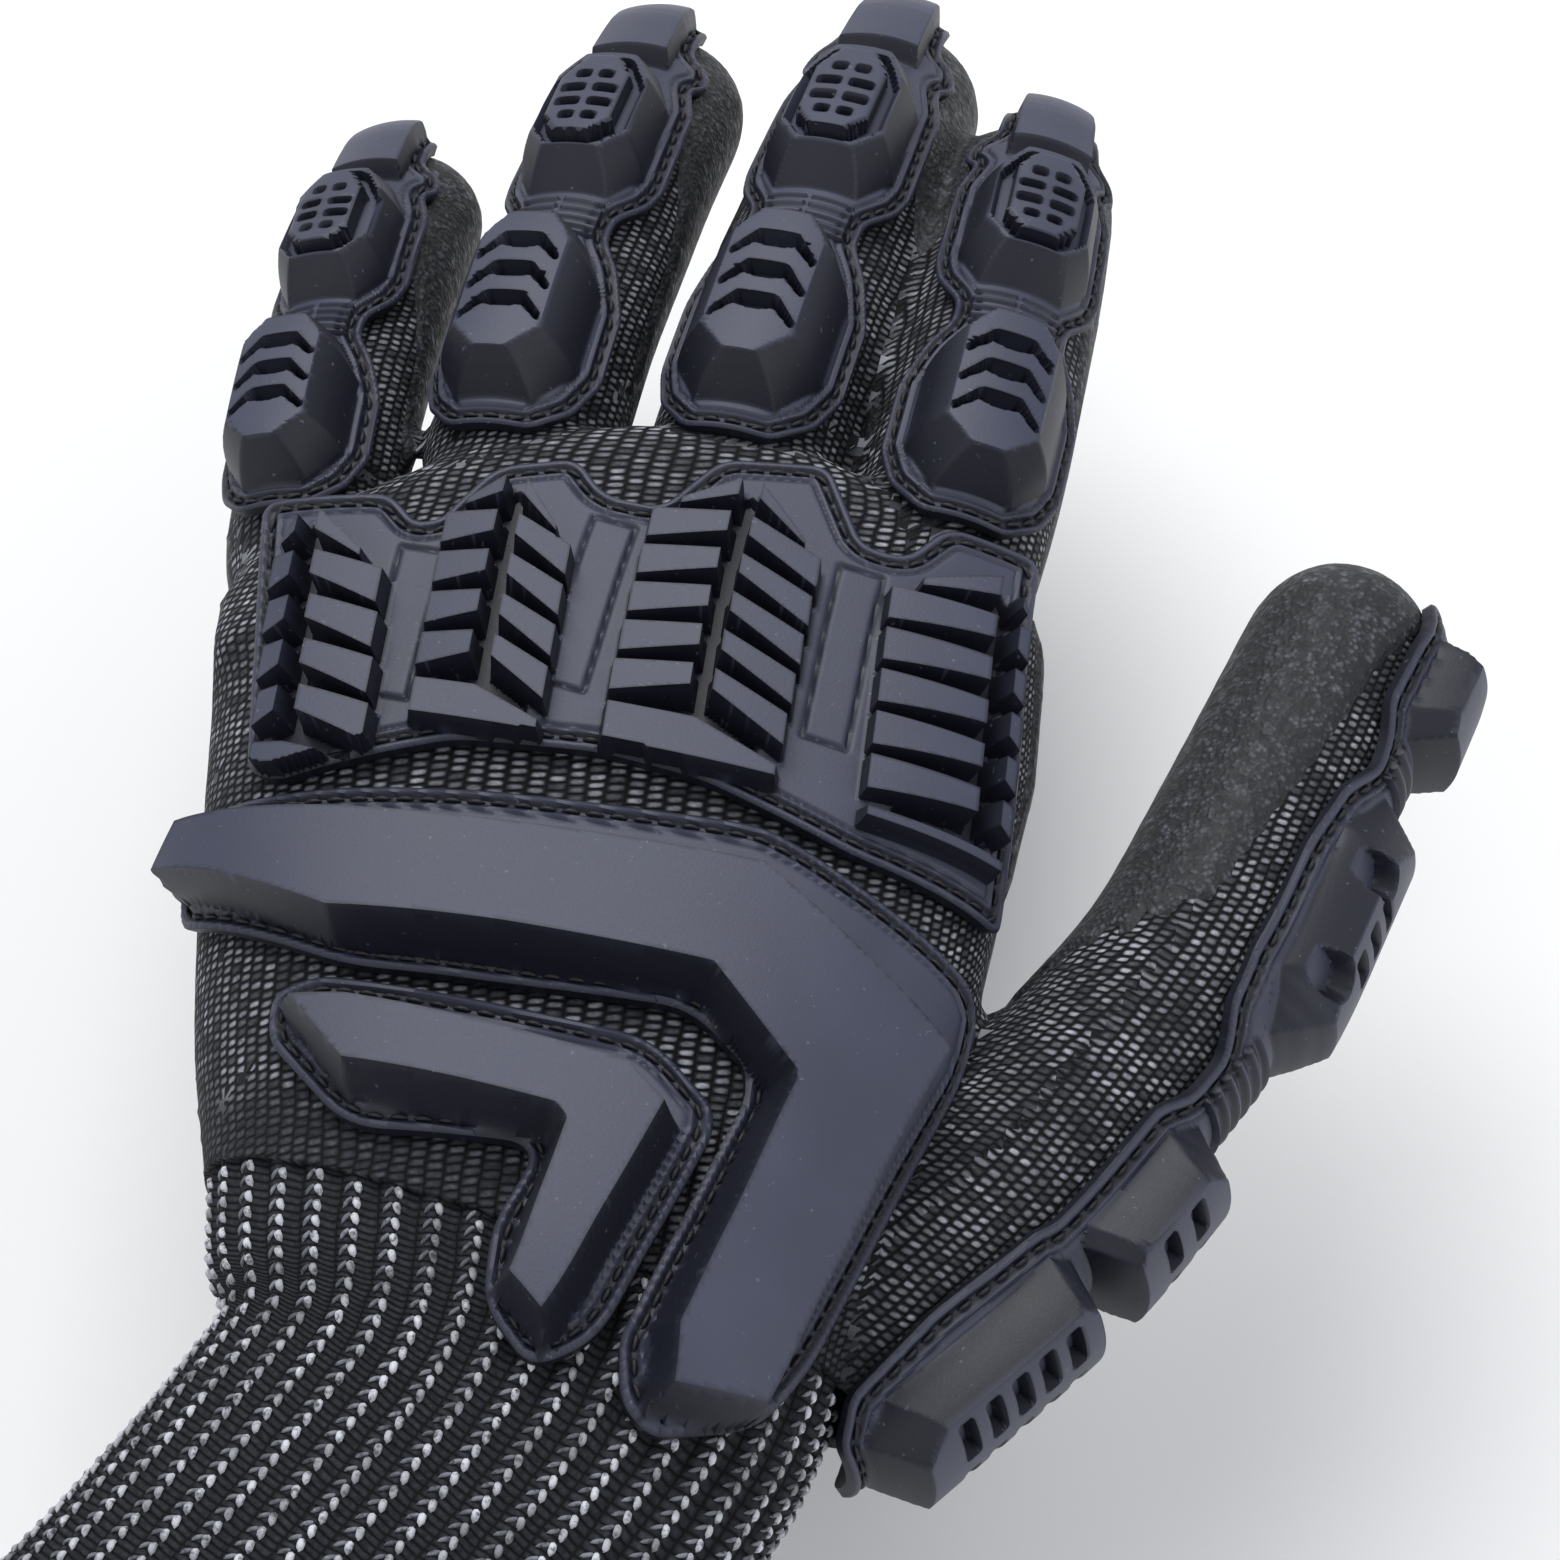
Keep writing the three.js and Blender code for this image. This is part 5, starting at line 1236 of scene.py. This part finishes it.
class GLOVE_OT_thumb_guard(bpy.types.Operator):
    """Moulds and sews on the thumb's guard"""
    bl_idname = "glove.thumb_guard"
    bl_label = "Mould the thumb guard"

    def execute(self, context):
        limb = LIMBS["thumb"]
        length, half = limb.length, limb.half
        top = PLATE + THUMB_LOBE
        blocks = [lobe_outlines(rows, 0, length, half)
                  for rows in (HEEL_BLOCK, ROOT_BLOCK, JOINT_LOBE, THUMB_CAP)]

        def height(p):
            h = np.full(len(p), PLATE)
            for (foot, flat), drop in zip(blocks, (0, 0, 1.4, 1.4)):
                h = raise_lobe(h, frustum(p, foot, flat), top - drop)
            for share in THUMB_BITES:
                bite = BITE_RADIUS - np.hypot(np.abs(p[:, 0]) - 0.47 * half, p[:, 1] - share * length)
                h = np.where(bite > 0, np.minimum(h, top - 1.4 - 3.0 * np.clip(bite / 0.5, 0, 1)), h)
            for first, slots, pitch, deep in THUMB_SLOTS:
                for y in (first + pitch * np.arange(slots)) * length:
                    for side in (-1, 1):
                        ends = (side * 0.07 * half, y), (side * 0.36 * half, y)
                        h = h - deep * bar_share(p, *ends, 0.016 * length, 0.25)
            for low, high in THUMB_NECKS:
                h = neck_ribs(p, h, low * length, high * length, 0.5 * half, 0.0155 * length, 0.9,
                              PLATE + 0.01)
            return h

        rim = mirrored([(along * length, half * across) for along, across in THUMB_RIM])
        relief("thumb_guard_moulding", "thumb_guard", limb.surface(), rim, height, 0.3,
               [closed(outline) for outline in sum(blocks, ())])
        return {"FINISHED"}


def on_back(rows):
    return [(a * KNUCKLE_WIDTH, b * PALM_LENGTH) for a, b in rows]


KNUCKLE_RIM = [(-0.445, 0.805), (-0.395, 0.465), (-0.355, 0.45), (-0.275, 0.48), (-0.16, 0.52),
               (0.005, 0.535), (0.12, 0.528), (0.295, 0.485), (0.485, 0.47), (0.48, 0.63), (0.462, 0.925),
               (0.35, 0.925), (0.31, 0.865), (0.26, 0.865), (0.2, 0.965), (0.076, 0.942), (0.024, 0.857),
               (-0.045, 0.86), (-0.086, 0.905), (-0.176, 0.875), (-0.225, 0.793), (-0.252, 0.785),
               (-0.29, 0.82)]
RIB_GROUPS = [  # groove's top and foot (across, along), bars, reach left and right, drop
    (-0.366, 0.775, -0.34, 0.495, 5, 0.042, 0.095, 0.018),
    (-0.139, 0.845, -0.14, 0.585, 5, 0.075, 0.08, 0.03),
    (0.125, 0.895, 0.106, 0.595, 6, 0.105, 0.1, 0.035),
    (0.425, 0.86, 0.425, 0.545, 6, 0.13, 0.03, 0.0),
]
RIB_BANDS = [(-0.237, 0.75, -0.247, 0.56), (-0.024, 0.825, -0.05, 0.605), (0.265, 0.83, 0.25, 0.605)]


def knuckle_bars():
    """Each rib's outline, with where its groove is across the hand, its length and how far it falls."""
    bars = []
    for ax, ay, bx, by, count, left, right, drop in RIB_GROUPS:
        pitch = (ay - by) * PALM_LENGTH / count
        for i in range(count):
            share = (i + 0.5) / count
            x = (ax + (bx - ax) * share) * KNUCKLE_WIDTH
            y = (ay + (by - ay) * share) * PALM_LENGTH
            # the first rib of a group is shorter and tapers outward, and the others widen
            short, inner, low, high = (0.75, 0.14, 0.4, -0.1) if i == 0 else (1, 0.16, 0.42, 0.5)
            for side, reach, fall, droop in ((-1, left, 1.5, 0.2), (1, right, 0.6, 1)):
                length = short * reach * KNUCKLE_WIDTH
                a, b = x + side * 0.9, x + side * length
                end = y - drop * PALM_LENGTH * droop
                outer = [(b, end - low * pitch), (b, end + high * pitch)]
                bars.append(([(a, y - inner * pitch), *outer, (a, y + 0.5 * pitch)], x, length, fall))
    return bars


def knuckle_feet():
    """The bar across the foot of each group of ribs, and the sunk floor that its ribs stand on."""
    bases, wells = [], []
    for ax, ay, bx, by, _, left, right, drop in RIB_GROUPS:
        x, y, top = bx * KNUCKLE_WIDTH, by * PALM_LENGTH, ay * PALM_LENGTH
        low = y - drop * PALM_LENGTH
        left, right = left * KNUCKLE_WIDTH, right * KNUCKLE_WIDTH
        bases.append([(x - left, low - 3.4), (x + right, low - 3.4), (x + right, low - 0.9), (x, y - 0.7),
                      (x - left, y - 0.8)])
        ax = ax * KNUCKLE_WIDTH
        wells.append([(x - 0.72 * left, y - 0.5), (x + 0.72 * right, low),
                      (ax + 0.5 * right, top - 0.5 * drop * PALM_LENGTH - 3.6), (ax, top),
                      (ax - 0.5 * left, top - 3.6)])
    return bases, wells


class GLOVE_OT_knuckle_guard(bpy.types.Operator):
    """Moulds and sews on the plate over the knuckles, with its four groups of ribs"""
    bl_idname = "glove.knuckle_guard"
    bl_label = "Mould the knuckle guard"

    def execute(self, context):
        bars = knuckle_bars()
        bases, wells = knuckle_feet()
        bands = []
        for ax, ay, bx, by in RIB_BANDS:
            a, b = on_back([(bx, by), (ax, ay)])
            d = np.array([a[1] - b[1], b[0] - a[0]]) / math.hypot(b[0] - a[0], b[1] - a[1]) * BAND_HALF
            bands.append([a + d, a - d, b - d, b + d])
        creases = [closed(line) for rows, *_ in bars for line in (rows, grow(rows, -0.4))]
        creases += [closed(base) for base in bases] + [closed(grow(base, -0.7)) for base in bases]

        def height(p):
            h = np.full(len(p), PLATE)
            for well in wells:
                h = h - 1.1 * np.clip(edge_distance(p, well)[0] / 0.6, 0, 1)
            for band in bands:
                h = h - 0.4 * np.exp(-((edge_distance(p, band)[0] / 0.33) ** 2))
            for rows, x, length, fall in bars:
                foot = np.array(rows)
                near = np.nonzero(np.all((p > foot.min(0) - 0.5) & (p < foot.max(0) + 0.5), axis=1))[0]
                d, _ = edge_distance(p[near], foot)
                share = np.clip((d + 0.02) / 0.42, 0, 1)
                out = np.clip(np.abs(p[near, 0] - x) / length, 0, 1)
                h[near] = np.maximum(h[near], np.where(d > -0.02, PLATE + share * (RIB - fall * out), 0))
            for base in bases:
                d, _ = edge_distance(p, base)
                h = np.maximum(h, np.where(d > 0, PLATE + (RIB - 1.2) * np.clip(d / 0.7, 0, 1), 0))
            return h

        relief("knuckle_guard_moulding", "knuckle_guard", BACK, on_back(KNUCKLE_RIM), height, 0.29, creases,
               lift=CLEARANCE + 0.2, corner=2.5)
        return {"FINISHED"}


LARGE_RIM = [(-0.475, 0.3), (-0.225, 0.236), (-0.055, 0.243), (0.15, 0.259), (0.218, 0.211), (0.223, 0.176),
             (0.125, -0.105), (0.15, -0.148), (0.19, -0.16), (0.29, -0.12), (0.335, -0.06), (0.475, 0.3),
             (0.48, 0.37), (0.455, 0.4), (0.25, 0.475), (0.195, 0.49), (-0.12, 0.465), (-0.29, 0.445),
             (-0.425, 0.422), (-0.47, 0.395)]
LARGE_TOP = [(-0.435, 0.335), (-0.24, 0.272), (-0.06, 0.28), (0.165, 0.285), (0.262, 0.19), (0.175, -0.09),
             (0.185, -0.13), (0.265, -0.115), (0.4, 0.29), (0.2, 0.415), (-0.17, 0.393), (-0.42, 0.383)]
SMALL_RIM = [(-0.305, 0.2), (-0.3, 0.145), (-0.195, 0.053), (0.015, 0.07), (-0.025, -0.03), (-0.02, -0.11),
             (0.05, -0.155), (0.105, -0.11), (0.193, 0.125), (0.19, 0.155), (0.118, 0.215), (-0.255, 0.222)]
SMALL_TOP = [(-0.255, 0.168), (-0.19, 0.1), (0.045, 0.085), (0.01, -0.09), (0.05, -0.115), (0.135, 0.115),
             (0.095, 0.15), (-0.2, 0.172)]
PAD_SLOPE = 0.021


def grow(outline, distance):
    """The outline moved outward, its corners kept."""
    a = np.array(outline, float)
    before, after = np.roll(a, 1, axis=0), np.roll(a, -1, axis=0)
    turn = np.sign(np.sum(a[:, 0] * after[:, 1] - a[:, 1] * after[:, 0]))
    d, e = (a - before), (after - a)
    d /= np.linalg.norm(d, axis=1)[:, None]
    e /= np.linalg.norm(e, axis=1)[:, None]
    n = np.stack([d[:, 1], -d[:, 0]], -1) * turn
    m = np.stack([e[:, 1], -e[:, 0]], -1) * turn
    return a + (n + m) * (distance / (1 + np.sum(n * m, axis=1)))[:, None]


class GLOVE_OT_back_pads(bpy.types.Operator):
    """Moulds and sews on the two angled pads over the back of the hand"""
    bl_idname = "glove.back_pads"
    bl_label = "Mould the back pads"

    def execute(self, context):
        slope = PAD_SLOPE * KNUCKLE_WIDTH
        for size, rim, flat in (("large", LARGE_RIM, LARGE_TOP), ("small", SMALL_RIM, SMALL_TOP)):
            top = on_back(flat)
            foot = grow(top, slope)

            def height(p):
                share = np.clip(edge_distance(p, foot)[0] / slope, 0, 1)
                return np.maximum(PLATE, np.where(share > 0, PLATE / 2 + share * (PAD + PLATE / 2), 0))

            relief(f"{size}_pad_moulding", f"{size}_back_pad", BACK, on_back(rim), height, 0.42,
                   [closed(top), closed(foot)], corner=4.5)
        return {"FINISHED"}


# Stage


class GLOVE_OT_stage(bpy.types.Operator):
    """Lays the pale floor and sets the lights and the camera"""
    bl_idname = "glove.stage"
    bl_label = "Set the stage"

    def execute(self, context):
        scene = context.scene
        corners = [(x * FLOOR_HALF, y * FLOOR_HALF, FLOOR_HEIGHT)
                   for x, y in ((-1, -1), (1, -1), (1, 1), (-1, 1))]
        floor = new_object("floor", corners, [(0, 1, 2, 3)], smooth_faces=False)
        floor.data.materials.append(finish("matt backdrop paint", backdrop_paint, scene.glove_colours))
        azimuth, elevation = (math.radians(angle) for angle in CAMERA_ANGLES)
        back = Vector((math.sin(azimuth) * math.cos(elevation), -math.cos(azimuth) * math.cos(elevation),
                       math.sin(elevation)))
        right = Vector((math.cos(azimuth), math.sin(azimuth), 0))
        data = bpy.data.cameras.new("camera")
        data.lens = CAMERA_LENS
        data.sensor_width = CAMERA_FILM
        camera = bpy.data.objects.new("camera", data)
        turn = Matrix((right, back.cross(right), back)).transposed().to_4x4()
        camera.matrix_world = Matrix.Translation(Vector(CAMERA_TARGET) * MM + back * CAMERA_DISTANCE) @ turn
        scene.collection.objects.link(camera)
        scene.camera = camera
        for name, place, size, power in LAMPS:
            lamp = bpy.data.lights.new(name, "AREA")
            lamp.size = size
            lamp.energy = power
            light = bpy.data.objects.new(name, lamp)
            direction = Vector(LAMP_AIM) - Vector(place)
            turn = direction.to_track_quat("-Z", "Y").to_matrix().to_4x4()
            light.matrix_world = Matrix.Translation(place) @ turn
            scene.collection.objects.link(light)
        world = bpy.data.worlds.new("soft light")
        scene.world = world
        world.use_nodes = True
        wire(world.node_tree, world.node_tree.nodes["Background"], [linear("#e8ebf2"), SKY_STRENGTH])
        scene.view_settings.view_transform = "Standard"
        return {"FINISHED"}


# Settings and panel


class GloveSizes(bpy.types.PropertyGroup):
    """Sizes that a user would change"""
    knit_wall: bpy.props.FloatProperty(name="Knit thickness", description="Thickness of the knit",
                                       default=0.0018, unit="LENGTH")
    skin_step: bpy.props.FloatProperty(name="Skin step", description="Size of the skin's faces",
                                       default=0.00145, unit="LENGTH")
    stitch_pitch: bpy.props.FloatProperty(name="Stitch pitch", description="From one sewn stitch to the next",
                                          default=0.0028, unit="LENGTH")
    loop_pitch: bpy.props.FloatProperty(name="Loop pitch",
                                        description="From one V loop of the cuff to the next",
                                        default=0.0019, unit="LENGTH")


class GloveColours(bpy.types.PropertyGroup):
    """Colours that a user would change, as sRGB hex values"""
    guard: bpy.props.StringProperty(name="Guard", description="Moulded rubber", default="#161824")
    # the paler guard colour is painted light on the guards' level tops
    guard_worn: bpy.props.StringProperty(name="Guard, painted top light", description="Paler colour painted on lit tops", default="#404355")
    knit_dark: bpy.props.StringProperty(name="Dark yarn", description="Dark yarn", default="#17181d")
    knit_light: bpy.props.StringProperty(name="Pale yarn", description="Pale strands", default="#b4b7bf")
    loop: bpy.props.StringProperty(name="Cuff loops", description="Pale loops of the cuff", default="#d4d6dc")
    # the far legs' colour is the pale yarn painted darker as shade
    loop_shaded: bpy.props.StringProperty(name="Cuff loops, far leg in painted shade", description="The far legs: the pale yarn painted darker as shade",
                                        default="#84878f")
    coat: bpy.props.StringProperty(name="Dip", description="Dipped rubber", default="#17181c")
    # the dip's paler colour is painted highlight on its raised grains
    coat_highlight: bpy.props.StringProperty(name="Dip, painted grain highlight", description="Highlight painted on the dip's raised grains",
                                         default="#62646f")
    thread: bpy.props.StringProperty(name="Thread", description="Sewing thread", default="#0b0b0f")
    floor: bpy.props.StringProperty(name="Floor", description="Floor", default="#f7f7f6")


OPERATORS = (GLOVE_OT_hand_knit, GLOVE_OT_cuff, GLOVE_OT_finger_guards, GLOVE_OT_thumb_guard,
             GLOVE_OT_knuckle_guard, GLOVE_OT_back_pads, GLOVE_OT_stage)


class GLOVE_PT_panel(bpy.types.Panel):
    bl_idname = "GLOVE_PT_panel"
    bl_label = "Impact glove"
    bl_space_type = "VIEW_3D"
    bl_region_type = "UI"
    bl_category = "Glove"

    def draw(self, context):
        for group in (context.scene.glove_sizes, context.scene.glove_colours):
            for name in group.bl_rna.properties.keys():
                if name not in ("rna_type", "name"):
                    self.layout.prop(group, name)
        for operator in OPERATORS:
            self.layout.operator(operator.bl_idname)


CLASSES = (GloveSizes, GloveColours, *OPERATORS, GLOVE_PT_panel)


def register():
    for item in CLASSES:
        bpy.utils.register_class(item)
    bpy.types.Scene.glove_sizes = bpy.props.PointerProperty(type=GloveSizes)
    bpy.types.Scene.glove_colours = bpy.props.PointerProperty(type=GloveColours)


def unregister():
    del bpy.types.Scene.glove_colours
    del bpy.types.Scene.glove_sizes
    for item in reversed(CLASSES):
        bpy.utils.unregister_class(item)


def main():
    register()
    for operator in OPERATORS:
        group, name = operator.bl_idname.split(".")
        getattr(getattr(bpy.ops, group), name)()


if __name__ == "__main__":
    main()
